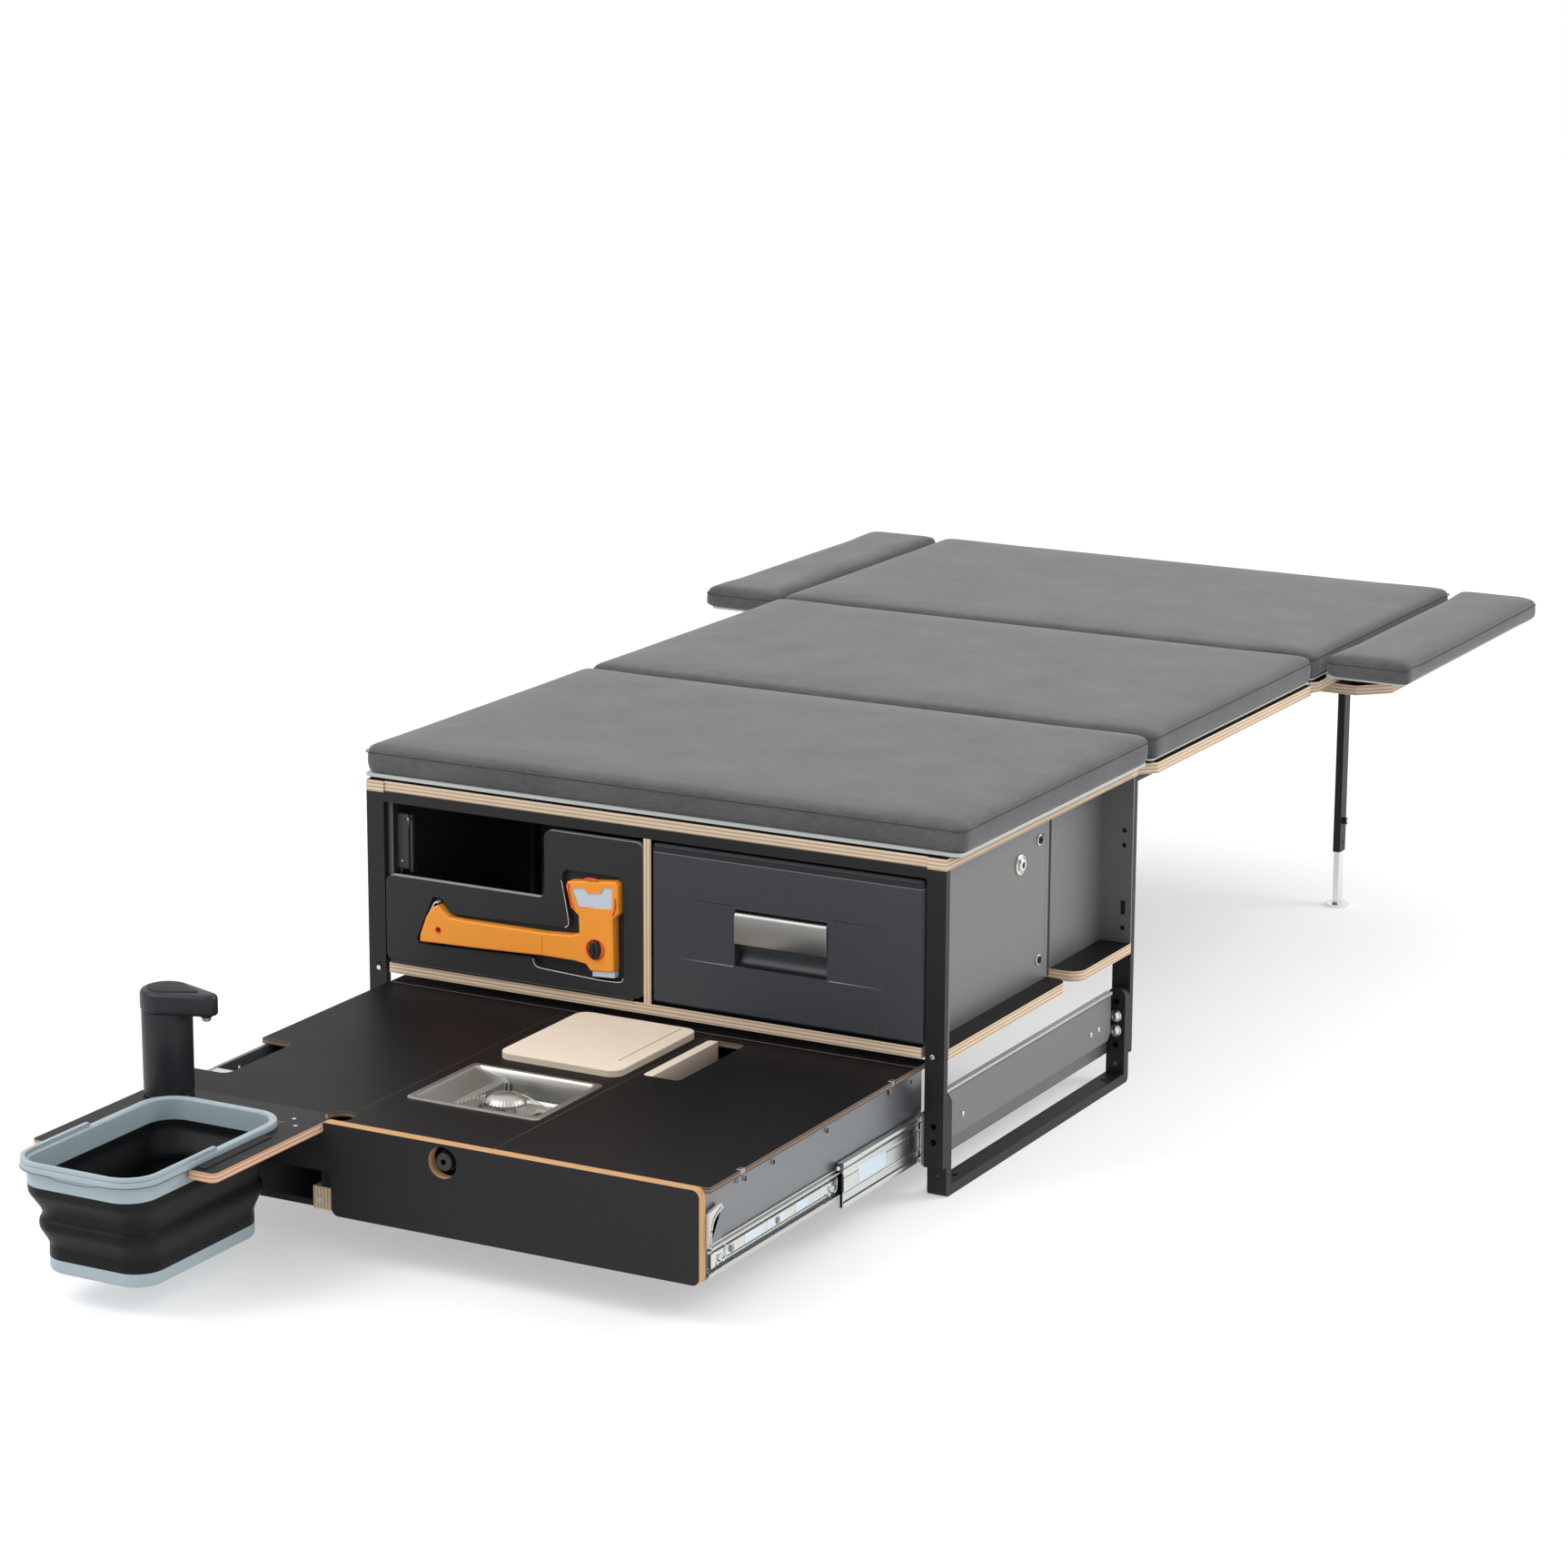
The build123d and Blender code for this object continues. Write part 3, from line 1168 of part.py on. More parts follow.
# Cushions: a crowned top over drawn-in sides, on a set-in base
def cushion(x, y, z, crown, round_r, base_x, base_y, base_low):
    """Pillow block between the spans, its top raised by crown in the middle."""
    slab(x, y, z, Mode.ADD, round_r)
    mid_x = (x[0] + x[1]) / 2
    mid_y = (y[0] + y[1]) / 2
    low = Plane.XY.offset(z[1])
    with BuildSketch(low) as wide:
        with Locations((mid_x, place_y(mid_y))):
            RectangleRounded(x[1] - x[0] - 2 * crown, y[1] - y[0] - 2 * crown, round_r)
    with BuildSketch(low.offset(crown)) as small:
        with Locations((mid_x, place_y(mid_y))):
            RectangleRounded(x[1] - x[0] - 2 * crown_in, y[1] - y[0] - 2 * crown_in, round_r)
    loft([wide.sketch, small.sketch])
    slab(base_x, base_y, (base_low, z[0]))


def mattress(y):
    """One bed cushion across the span y."""
    x = (-cushion_half, cushion_half)
    base_x = (-cushion_half + plinth_in, cushion_half - plinth_in)
    cushion(x, y, (cushion_low, cushion_top), cushion_crown, cushion_round, base_x,
            (y[0] + plinth_in, y[1] - plinth_in), plinth_low)


with BuildPart() as mattress_front:
    mattress(cushion_spans[0])
mattress_front.part.label = "mattress_front"
export_step(mattress_front.part, "parts/mattress_front.step")

with BuildPart() as mattress_middle:
    mattress(cushion_spans[1])
mattress_middle.part.label = "mattress_middle"
export_step(mattress_middle.part, "parts/mattress_middle.step")

with BuildPart() as mattress_head:
    mattress(cushion_spans[2])
mattress_head.part.label = "mattress_head"
export_step(mattress_head.part, "parts/mattress_head.step")


with BuildPart() as pad_right:
    cushion(pad_x, pad_y, (pad_low, pad_top), pad_crown, cushion_round, pad_plinth_x,
            (wing_y[0] + pad_plinth_in, wing_y[1] - pad_plinth_in), wing_z[1])
pad_right.part.label = "pad_right"
export_step(pad_right.part, "parts/pad_right.step")

with BuildPart() as pad_left:
    add(mirror(pad_right.part, about=Plane.YZ, mode=Mode.PRIVATE))
pad_left.part.label = "pad_left"
export_step(pad_left.part, "parts/pad_left.step")

# Bed boards with cut corners
with BuildPart() as bed_board:
    slab((-cushion_half, cushion_half), bed_board_y, (board_low, board_top))
    chamfer(bed_board.edges().filter_by(Axis.Z).group_by(Axis.Y)[0], bed_corner)
bed_board.part.label = "bed_board"
export_step(bed_board.part, "parts/bed_board.step")

with BuildPart() as head_board:
    slab((-cushion_half, cushion_half), head_board_y, (board_low, board_top))
    chamfer(head_board.edges().filter_by(Axis.Z).group_by(Axis.Y)[0], bed_corner)
head_board.part.label = "head_board"
export_step(head_board.part, "parts/head_board.step")

# Wings: combs that slide under the head board and carry the side pads
finger_step = (wing_y[1] - wing_y[0] - finger_wide) / (finger_count - 1)
with BuildPart() as wing_right:
    slab((wing_x[0], wing_x[1]), wing_y, wing_z)
    chamfer(wing_right.edges().filter_by(Axis.Z).sort_by(Axis.X)[-2:], wing_cut)
    for k in range(finger_count):
        y0 = wing_y[0] + k * finger_step
        slab((wing_finger, wing_x[0]), (y0, y0 + finger_wide), wing_z)
wing_right.part.label = "wing_right"
export_step(wing_right.part, "parts/wing_right.step")

with BuildPart() as wing_left:
    add(mirror(wing_right.part, about=Plane.YZ, mode=Mode.PRIVATE))
wing_left.part.label = "wing_left"
export_step(wing_left.part, "parts/wing_left.step")

# Bed rails with end plates on the rear posts, and risers clear of the wings' fingers
with BuildPart() as bed_rails:
    slab(rail_x, rail_y, rail_z)
    slab((rail_x[0] + rail_skin, rail_x[1] - rail_skin), (rail_y[0] - over, rail_y[1] + over),
         (rail_z[0] + rail_skin, rail_z[1] - rail_skin), Mode.SUBTRACT)
    slab(rail_end_x, (box_deep, rail_y[0]), rail_end_z)
    for y in riser_y:
        slab(rail_x, y, (rail_z[1], board_low))
    both_sides()
bed_rails.part.label = "bed_rails"
export_step(bed_rails.part, "parts/bed_rails.step")

# Bed legs: folding tubes in brackets beside the rails, with sliding feet
leg_x = (leg_at[0] - leg_half[0], leg_at[0] + leg_half[0])
leg_y = (leg_at[1] - leg_half[1], leg_at[1] + leg_half[1])
cheek_in = (leg_x[0] - fit_gap - clevis_thick, leg_x[0] - fit_gap)
cheek_out = (leg_x[1] + fit_gap, leg_x[1] + fit_gap + clevis_thick)
cheek_y = (leg_at[1] - clevis_half_y, leg_at[1] + clevis_half_y)
with BuildPart() as leg_brackets:
    for x in (cheek_in, cheek_out):
        slab(x, cheek_y, (clevis_low, rail_z[1] - fit_gap))
    slab((cheek_in[0], rail_x[0]), cheek_y, (rail_z[1] - clevis_thick, rail_z[1] - fit_gap))
    rod_x(leg_at[1], leg_axis_z, (cheek_in[0], cheek_out[1]), leg_axis_r)
    both_sides()
leg_brackets.part.label = "leg_brackets"
export_step(leg_brackets.part, "parts/leg_brackets.step")

with BuildPart() as bed_leg_right:
    slab(leg_x, leg_y, leg_z)
    slab((leg_x[0] + leg_skin, leg_x[1] - leg_skin), (leg_y[0] + leg_skin, leg_y[1] - leg_skin),
         (leg_z[0] - over, leg_hollow_top), Mode.SUBTRACT)
    rod_x(leg_at[1], leg_axis_z, (leg_x[0] - over, leg_x[1] + over), leg_axis_r + leg_axis_play,
          Mode.SUBTRACT)
    rod_x(leg_at[1], leg_hole_low_z, (leg_at[0], leg_x[1] + over), sleeve_hole_r, Mode.SUBTRACT)
    rod_x(leg_at[1], leg_knob_z, (leg_x[1], leg_x[1] + leg_knob_out), leg_knob_r)
bed_leg_right.part.label = "bed_leg_right"
export_step(bed_leg_right.part, "parts/bed_leg_right.step")

with BuildPart() as bed_leg_left:
    add(mirror(bed_leg_right.part, about=Plane.YZ, mode=Mode.PRIVATE))
bed_leg_left.part.label = "bed_leg_left"
export_step(bed_leg_left.part, "parts/bed_leg_left.step")

with BuildPart() as bed_foot_right:
    slab((leg_at[0] - foot_half[0], leg_at[0] + foot_half[0]),
         (leg_at[1] - foot_half[1], leg_at[1] + foot_half[1]), (foot_disc, foot_top))
    rod_z(leg_at[0], leg_at[1], (0, foot_disc), foot_disc_r)
bed_foot_right.part.label = "bed_foot_right"
export_step(bed_foot_right.part, "parts/bed_foot_right.step")

with BuildPart() as bed_foot_left:
    add(mirror(bed_foot_right.part, about=Plane.YZ, mode=Mode.PRIVATE))
bed_foot_left.part.label = "bed_foot_left"
export_step(bed_foot_left.part, "parts/bed_foot_left.step")
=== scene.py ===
"""Looks of a camping box with a slide-out kitchen, a drawer fridge and a cushioned bed.

Lengths in this file are in millimetres from the middle of the box, with depths from its
front face, and place() turns them into metres of the frame.
"""
import math

import bpy
import numpy as np
from mathutils import Matrix, Vector


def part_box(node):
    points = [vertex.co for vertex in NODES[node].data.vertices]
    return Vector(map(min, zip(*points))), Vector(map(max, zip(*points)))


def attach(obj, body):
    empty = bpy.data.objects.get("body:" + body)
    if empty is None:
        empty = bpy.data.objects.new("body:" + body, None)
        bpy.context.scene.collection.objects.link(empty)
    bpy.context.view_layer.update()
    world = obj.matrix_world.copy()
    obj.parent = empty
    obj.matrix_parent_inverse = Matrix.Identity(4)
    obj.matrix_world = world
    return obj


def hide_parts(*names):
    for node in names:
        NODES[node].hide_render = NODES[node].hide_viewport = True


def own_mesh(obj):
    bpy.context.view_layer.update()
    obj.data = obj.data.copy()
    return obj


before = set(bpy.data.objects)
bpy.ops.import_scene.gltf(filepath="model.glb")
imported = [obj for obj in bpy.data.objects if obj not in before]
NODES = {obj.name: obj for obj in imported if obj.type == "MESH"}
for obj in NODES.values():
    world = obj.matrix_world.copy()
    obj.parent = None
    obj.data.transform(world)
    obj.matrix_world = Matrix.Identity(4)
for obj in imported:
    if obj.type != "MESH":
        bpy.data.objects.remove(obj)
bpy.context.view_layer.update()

bl_info = {
    "name": "Camping box looks",
    "version": (1, 0, 0),
    "blender": (4, 5, 0),
    "location": "View3D > Sidebar > Camping box",
    "description": "Dresses the camping box's frame with materials, cushions and fittings",
    "category": "Object",
}

MM = 0.001
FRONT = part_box("top_board")[0].y


def place(points):
    """Metres of the frame from millimetres with the depth measured from the box's front."""
    out = np.asarray(points, float) * MM
    out[..., 1] += FRONT
    return out


def span(node):
    """Low and high corner of a CAD node in millimetres, its depth from the box's front."""
    low, high = (np.array(c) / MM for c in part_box(node))
    low[1] -= FRONT / MM
    high[1] -= FRONT / MM
    return low, high


# Shader building


class Value:
    """A socket that carries one number, with the signs of arithmetic."""

    def __init__(self, tree, socket):
        self.tree = tree
        self.socket = socket

    def maths(self, operation, *others, clamp=False):
        """Adds one Math node on this value and the others."""
        made = self.tree.nodes.new("ShaderNodeMath")
        made.operation = operation
        made.use_clamp = clamp
        for slot, item in zip(made.inputs, (self, *others)):
            if isinstance(item, Value):
                self.tree.links.new(item.socket, slot)
            else:
                slot.default_value = item
        return Value(self.tree, made.outputs[0])

    def turned(self, operation, other):
        """The operation with the other number first."""
        made = self.tree.nodes.new("ShaderNodeMath")
        made.operation = operation
        made.inputs[0].default_value = other
        self.tree.links.new(self.socket, made.inputs[1])
        return Value(self.tree, made.outputs[0])

    def __add__(self, other):
        return self.maths("ADD", other)

    __radd__ = __add__

    def __mul__(self, other):
        return self.maths("MULTIPLY", other)

    __rmul__ = __mul__

    def __sub__(self, other):
        return self.maths("SUBTRACT", other)

    def __rsub__(self, other):
        return self.turned("SUBTRACT", other)

    def __truediv__(self, other):
        return self.maths("DIVIDE", other)

    def __abs__(self):
        return self.maths("ABSOLUTE")

    def part(self):
        """What is left past the whole number."""
        return self.maths("FRACT")

    def above(self, edge, soft):
        """0 below the edge and 1 above it, with a ramp of the given width."""
        return ((self - edge) / soft + 0.5).maths("ADD", 0.0, clamp=True)


FINISHES = {}


class Finish:
    """A material: node() adds any node, set() gives the shader its plain values and links."""

    def __init__(self, name, **values):
        self.material = bpy.data.materials.new(name)
        self.material.use_nodes = True
        self.tree = self.material.node_tree
        self.shader = next(n for n in self.tree.nodes if n.type == "BSDF_PRINCIPLED")
        self.set(**values)
        FINISHES[name] = self.material

    def node(self, kind, inputs, **settings):
        """A node of this kind with its settings made first, then its inputs; gives its first output."""
        made = self.tree.nodes.new(kind)
        for key, item in settings.items():
            setattr(made, key, item)
        for key, item in inputs.items():
            self.feed(made.inputs[key], item)
        return Value(self.tree, made.outputs[0])

    def feed(self, socket, item):
        """Links a value or sets a plain one."""
        if isinstance(item, Value):
            self.tree.links.new(item.socket, socket)
        elif isinstance(item, tuple) and socket.type == "RGBA":
            socket.default_value = (*item, 1.0)
        else:
            socket.default_value = item

    def set(self, **values):
        """Sets the shader's sockets by their names, with low lines for spaces."""
        for key, item in values.items():
            self.feed(self.shader.inputs[key.replace("_", " ")], item)

    def coords(self, output="Object"):
        """The three parts of a place on the piece, or of its normal."""
        where = self.tree.nodes.new("ShaderNodeTexCoord")
        split = self.tree.nodes.new("ShaderNodeSeparateXYZ")
        self.tree.links.new(where.outputs[output], split.inputs[0])
        return [Value(self.tree, s) for s in split.outputs]

    def joined(self, x, y, z):
        """A vector from three values or numbers."""
        return self.node("ShaderNodeCombineXYZ", {0: x, 1: y, 2: z})

    def noise(self, scale, detail, vector=None):
        """A noise value between 0 and 1 at so many grains per metre."""
        if vector is None:
            vector = self.joined(*self.coords())
        return self.node("ShaderNodeTexNoise", {"Scale": scale, "Detail": detail, "Vector": vector})

    def mix(self, factor, low, high):
        """Colour between two colours."""
        made = self.tree.nodes.new("ShaderNodeMix")
        made.data_type = "RGBA"
        colour_in = [s for s in made.inputs if s.type == "RGBA"]
        self.feed(made.inputs[0], factor)
        self.feed(colour_in[0], low)
        self.feed(colour_in[1], high)
        return Value(self.tree, next(s for s in made.outputs if s.type == "RGBA"))

    def bump(self, height, distance, strength=1.0):
        """A bump from a height between 0 and 1, its depth in metres."""
        self.feed(self.shader.inputs["Normal"], self.node(
            "ShaderNodeBump", {"Height": height, "Distance": distance, "Strength": strength}))


PLY = 2.7
RAW_PLY = 1.5
CREASE = 92.0
# The door's hollow: its foot, the head's two sides and top, and the grip's side and top
DOOR_HOLLOW = (236.0, (-150.0, -30.0, 432.0), (-404.0, 345.0))


def plain(name, colour, roughness, metallic=0.0, grain=0.0, shine=0.5, grain_size=0.8, **values):
    """A finish with one colour, and a surface grain of the given depth and size where one is given."""
    made = Finish(name, Base_Color=colour, Roughness=roughness, Metallic=metallic, Specular_IOR_Level=shine,
                  **values)
    if grain:
        made.bump(made.noise(1.0 / (grain_size * MM), 3.0), grain * MM)


def shaded(colour, share):
    """The colour, lighter or darker by a share."""
    return tuple(share * c for c in colour)


def film_board(name, axis, film, light, dark, film_roughness=0.4, door=False):
    """Board with a film on its two faces and the layers of its wood on its edges.

    The edge shows where the normal leaves the board's thickness axis. The layers alternate
    along that axis with the pitch PLY, and a stretched noise is the grain.
    A door's edges are black in the hollow, and pale grey where they look up: a painted highlight.
    """
    made = Finish(name, Specular_IOR_Level=0.12)
    at = made.coords()
    normal = made.coords("Normal")
    edge = 1 - abs(normal[axis]).above(0.75, 0.1)
    layer = (at[axis] / (2 * PLY * MM)).part()
    band = abs(layer - 0.5).above(0.3, 0.2)
    stretch = [12.0, 12.0, 12.0]
    stretch[axis] = 260.0
    grain = made.noise(1.0, 3.0, made.joined(*[a * s for a, s in zip(at, stretch)]))
    wood = made.mix(band * 0.8, light, dark)
    wood = made.mix(grain.above(0.62, 0.5) * 0.35, wood, dark)
    if door:
        low, head, grip = DOOR_HOLLOW
        inside = at[0].above(grip[0] * MM, 0.001) * (1 - at[0].above(head[1] * MM, 0.001))
        handle = 1 - at[2].above(grip[1] * MM, 0.001)
        past = at[0].above(head[0] * MM, 0.001) * (1 - at[2].above(head[2] * MM, 0.001))
        hollow = inside * at[2].above(low * MM, 0.001) * handle.maths("MAXIMUM", past)
        # Edges that look up turn pale grey: a painted highlight.
        wood = made.mix(normal[2].above(0.4, 0.2), wood, (0.36, 0.35, 0.34))
        wood = made.mix(hollow, wood, film)
    smear = made.noise(9.0, 2.0)
    made.set(Base_Color=made.mix(edge, film, wood),
             Roughness=edge * (0.7 - film_roughness) + film_roughness + smear * 0.05)
    made.bump(made.noise(900.0, 2.0), 0.02 * MM)


def brushed(name, colour, roughness, along, depth=0.02):
    """Metal with fine lines along one axis: a noise stretched forty times that way."""
    made = Finish(name, Base_Color=colour, Metallic=1.0)
    at = made.coords()
    scale = [2500.0, 2500.0, 2500.0]
    scale[along] = 60.0
    line = made.noise(1.0, 2.0, made.joined(*[a * s for a, s in zip(at, scale)]))
    made.set(Roughness=line * 0.16 + (roughness - 0.08))
    made.bump(line, depth * MM)


def zinc_finish(name, colour, roughness):
    """Bright zinc plate: its tint and gloss wander in soft clouds."""
    made = Finish(name, Metallic=1.0)
    cloud = made.noise(28.0, 4.0)
    made.set(Base_Color=made.mix(cloud, shaded(colour, 0.86), colour),
             Roughness=cloud * 0.18 + (roughness - 0.09))


def velvet(name, top, deep):
    """Cushion cloth: a weave of two crossed waves, short fibre specks and soft worn clouds."""
    made = Finish(name, Roughness=0.92, Sheen_Weight=0.25, Sheen_Roughness=0.45, Specular_IOR_Level=0.2)
    at = made.coords()
    waves = [(a * 2600.0).maths("SINE") for a in at]
    weave = (waves[0] * waves[1] + waves[2] * (waves[0] + waves[1]) * 0.5) * 0.5 + 0.5
    speck = made.noise(1400.0, 2.0, made.joined(at[0], at[1] * 0.35, at[2]))
    slub = made.noise(1.0, 2.0, made.joined(at[0] * 90.0, at[1] * 700.0, at[2] * 700.0))
    cloud = made.noise(9.0, 5.0, made.joined(at[0] + at[1] * 0.4, at[1] - at[0] * 0.4, at[2]))
    nap = made.noise(1.0, 3.0, made.joined(at[0] * 60.0, at[1] * 170.0, at[2] * 170.0))
    shade = weave * 0.15 + speck * 0.35 + slub * 0.25 + nap * 0.25
    tone = made.mix(shade.above(0.5, 0.36), deep, top)
    made.set(Base_Color=made.mix(cloud.above(0.5, 0.5) * 0.5, tone, shaded(top, 1.25)))
    made.bump(shade, 0.25 * MM, 0.8)


def grained(name, colour, roughness, creases, painted_shade_from):
    """Moulded plastic with a leather-like grain of small cells, and thin creases pressed into it.

    A crease is a height, the place it fades from, the way it runs and the colour it shows; the creases are
    painted lines, the dark ones painted shade and the pale ones painted highlight. Above the given height the
    face leans back and is painted darker, a painted shade, past a thin pale line, a painted highlight.
    """
    made = Finish(name, Roughness=roughness, Specular_IOR_Level=0.3)
    at = made.coords()
    grain = made.node("ShaderNodeTexVoronoi", {"Vector": made.joined(*at), "Scale": 420.0}, feature="SMOOTH_F1")
    speck = made.noise(900.0, 2.0)
    tone = made.mix(speck.above(0.5, 0.5), shaded(colour, 0.7), shaded(colour, 1.35))
    # Above the given height the face is painted darker: painted shade where it leans back.
    tone = made.mix(at[2].above(painted_shade_from * MM, 0.001), tone, shaded(colour, 0.35))
    # A thin pale line at that height: a painted highlight.
    edge = (1 - abs(at[2] - painted_shade_from * MM) / (1.1 * MM)).maths("MAXIMUM", 0.0)
    tone = made.mix((edge * 1.5).maths("MINIMUM", 1.0), tone, shaded(colour, 3.2))
    # Each crease is a painted line: the dark ones are painted shade, the pale ones painted highlight.
    for z, start, way, shade in creases:
        along = (at[0] - start * MM) * way
        fade = along.above(0.0, 0.0004) * (1 - along / (CREASE * MM)).maths("MAXIMUM", 0.0)
        line = (1 - abs(at[2] - z * MM) / (0.9 * MM)).maths("MAXIMUM", 0.0)
        tone = made.mix((line * fade * 1.6).maths("MINIMUM", 1.0), tone, shade)
    made.set(Base_Color=tone)
    made.bump(grain, 0.16 * MM, 0.9)


def raw_board(name, light, dark):
    """Bare birch board: long soft grain on its faces and layers on its edges."""
    made = Finish(name, Roughness=0.6)
    at = made.coords()
    edge = 1 - abs(made.coords("Normal")[2]).above(0.75, 0.1)
    band = abs((at[2] / (2 * RAW_PLY * MM)).part() - 0.5).above(0.25, 0.12)
    figure = made.noise(1.0, 4.0, made.joined(at[0] * 14.0, at[1] * 160.0, at[2] * 14.0))
    face = made.mix(figure.above(0.5, 0.5) * 0.5, light, dark)
    made.set(Base_Color=made.mix(edge * band * 0.8, face, shaded(dark, 0.62)))
    made.bump(figure, 0.05 * MM)


# Surfaces worked out on grids


def cells(grid, ends, first=0):
    """Four-sided faces between the grid's rows, which are closed loops numbered from first.

    The ends are "capped" by a flat face each, "ring" where the last row meets the first one,
    or "open".
    """
    rows, cols = grid.shape[:2]
    number = np.arange(rows * cols).reshape(rows, cols) + first
    base, up = (number, np.roll(number, -1, 0)) if ends == "ring" else (number[:-1], number[1:])
    faces = np.stack([base, np.roll(base, -1, 1), np.roll(up, -1, 1), up], -1).reshape(-1, 4).tolist()
    if ends == "capped":
        faces += [number[0][::-1].tolist(), number[-1].tolist()]
    return faces


def mesh_piece(name, points, faces, finish, body, sharp):
    """Mesh from points in metres and faces, its doubles merged and its normals turned out.

    Edges are sharp where two faces meet at more than the given degrees.
    """
    mesh = bpy.data.meshes.new(name)
    mesh.from_pydata(points.tolist(), [], faces)
    mesh.validate()
    made = bpy.data.objects.new(name, mesh)
    bpy.context.collection.objects.link(made)
    clean(made)
    mesh.shade_smooth()
    mesh.set_sharp_from_angle(angle=math.radians(sharp))
    mesh.materials.append(FINISHES[finish])
    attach(made, body)
    return made


def clean(made):
    """Merges doubled points and turns the normals outwards."""
    bpy.ops.object.select_all(action="DESELECT")
    made.select_set(True)
    bpy.context.view_layer.objects.active = made
    bpy.ops.object.mode_set(mode="EDIT")
    bpy.ops.mesh.select_all(action="SELECT")
    bpy.ops.mesh.remove_doubles(threshold=1e-6)
    bpy.ops.mesh.normals_make_consistent(inside=False)
    bpy.ops.object.mode_set(mode="OBJECT")


def many(name, grids, finish, body, sharp=35.0, ends="capped"):
    """One piece from several grids given in millimetres, their ends as in cells()."""
    points, faces, first = [], [], 0
    for grid in grids:
        faces += cells(grid, ends, first)
        points.append(place(grid).reshape(-1, 3))
        first += len(points[-1])
    return mesh_piece(name, np.concatenate(points), faces, finish, body, sharp)


def rounded_rows(centre, rows, steps):
    """Rounded rectangles stacked in height: each row is half x, half y, corner, z.

    A point sits at its corner's centre plus the corner radius in the direction of its angle.
    """
    rows = np.asarray(rows, float)
    turn = np.linspace(0, math.pi / 2, steps + 1)
    angle = np.concatenate([turn + k * math.pi / 2 for k in range(4)])
    sign_x = np.repeat([1.0, -1.0, -1.0, 1.0], steps + 1)
    sign_y = np.repeat([1.0, 1.0, -1.0, -1.0], steps + 1)
    half_x, half_y, corner, z = (rows[:, k, None] for k in range(4))
    x = centre[0] + sign_x * (half_x - corner) + corner * np.cos(angle)
    y = centre[1] + sign_y * (half_y - corner) + corner * np.sin(angle)
    return np.stack([x, y, np.broadcast_to(z, x.shape)], -1)


def turned_profile(profile, steps):
    """Profile of radius and height turned about the height axis: x = r cos a, y = r sin a."""
    profile = np.asarray(profile, float)
    angle = np.linspace(0, 2 * math.pi, steps, endpoint=False)
    x = profile[:, :1] * np.cos(angle)
    y = profile[:, :1] * np.sin(angle)
    return np.stack([x, y, np.broadcast_to(profile[:, 1:], x.shape)], -1)


def facing(grid, way):
    """Turns a grid that stands up along z so that it stands along +x, -x, +y, -y or stays."""
    x, y, z = grid[..., 0], grid[..., 1], grid[..., 2]
    turned = {"+z": (x, y, z), "-z": (x, -y, -z), "+x": (z, x, y), "-x": (-z, -x, y),
              "+y": (-x, z, y), "-y": (x, -z, y)}[way]
    return np.stack(turned, -1)


def tube(path, radius, steps):
    """Circle carried along a path: each ring stands square to the path's direction there."""
    path = np.asarray(path, float)
    run = np.gradient(path, axis=0)
    run /= np.linalg.norm(run, axis=1, keepdims=True)
    side = np.cross(run, (0.0, 0.0, 1.0))
    flat = np.linalg.norm(side, axis=1) < 0.2
    side[flat] = np.cross(run[flat], (0.0, 1.0, 0.0))
    side /= np.linalg.norm(side, axis=1, keepdims=True)
    rise = np.cross(side, run)
    angle = np.linspace(0, 2 * math.pi, steps, endpoint=False)
    ring = np.cos(angle)[None, :, None] * side[:, None] + np.sin(angle)[None, :, None] * rise[:, None]
    return path[:, None] + radius * ring


def cut_corners(points, rounds=3):
    """Open line with its corners cut at a quarter and three quarters of each run, again and again."""
    points = np.asarray(points, float)
    for _ in range(rounds):
        low = 0.75 * points[:-1] + 0.25 * points[1:]
        high = 0.25 * points[:-1] + 0.75 * points[1:]
        middle = np.stack([low, high], 1).reshape(-1, points.shape[1])
        points = np.concatenate([points[:1], middle, points[-1:]])
    return points


def rounded_outline(points, cuts, steps=5):
    """Closed outline with round corners.

    At each corner p the curve is (1-t)^2 a + 2t(1-t) p + t^2 b, where a and b lie on the two
    sides at the corner's cut from p.
    """
    points = np.asarray(points, float)
    cut = np.broadcast_to(np.asarray(cuts, float), (len(points),))[:, None]
    back = np.roll(points, 1, 0) - points
    ahead = np.roll(points, -1, 0) - points
    a = points + cut * back / np.linalg.norm(back, axis=1, keepdims=True)
    b = points + cut * ahead / np.linalg.norm(ahead, axis=1, keepdims=True)
    t = np.linspace(0.0, 1.0, steps)[None, :, None]
    curve = (1 - t) ** 2 * a[:, None] + 2 * t * (1 - t) * points[:, None] + t ** 2 * b[:, None]
    return curve.reshape(-1, 2)


def even(ring, count):
    """Points at even steps along a closed line."""
    closed = np.concatenate([ring, ring[:1]])
    run = np.concatenate([[0.0], np.cumsum(np.linalg.norm(np.diff(closed, axis=0), axis=1))])
    at = np.linspace(0.0, run[-1], count, endpoint=False)
    return np.stack([np.interp(at, run, closed[:, k]) for k in range(ring.shape[1])], 1)


def drawn_in(outline, by):
    """Outline moved inwards: each point goes along the mean of its two sides' normals."""
    run = np.roll(outline, -1, 0) - outline
    area = np.sum(outline[:, 0] * np.roll(outline[:, 1], -1) - outline[:, 1] * np.roll(outline[:, 0], -1))
    run /= np.maximum(np.linalg.norm(run, axis=1, keepdims=True), 1e-9)
    inward = np.stack([-run[:, 1], run[:, 0]], 1) * math.copysign(1.0, area)
    mean = inward + np.roll(inward, 1, 0)
    mean /= np.maximum(np.linalg.norm(mean, axis=1, keepdims=True), 0.4)
    return outline + by * mean


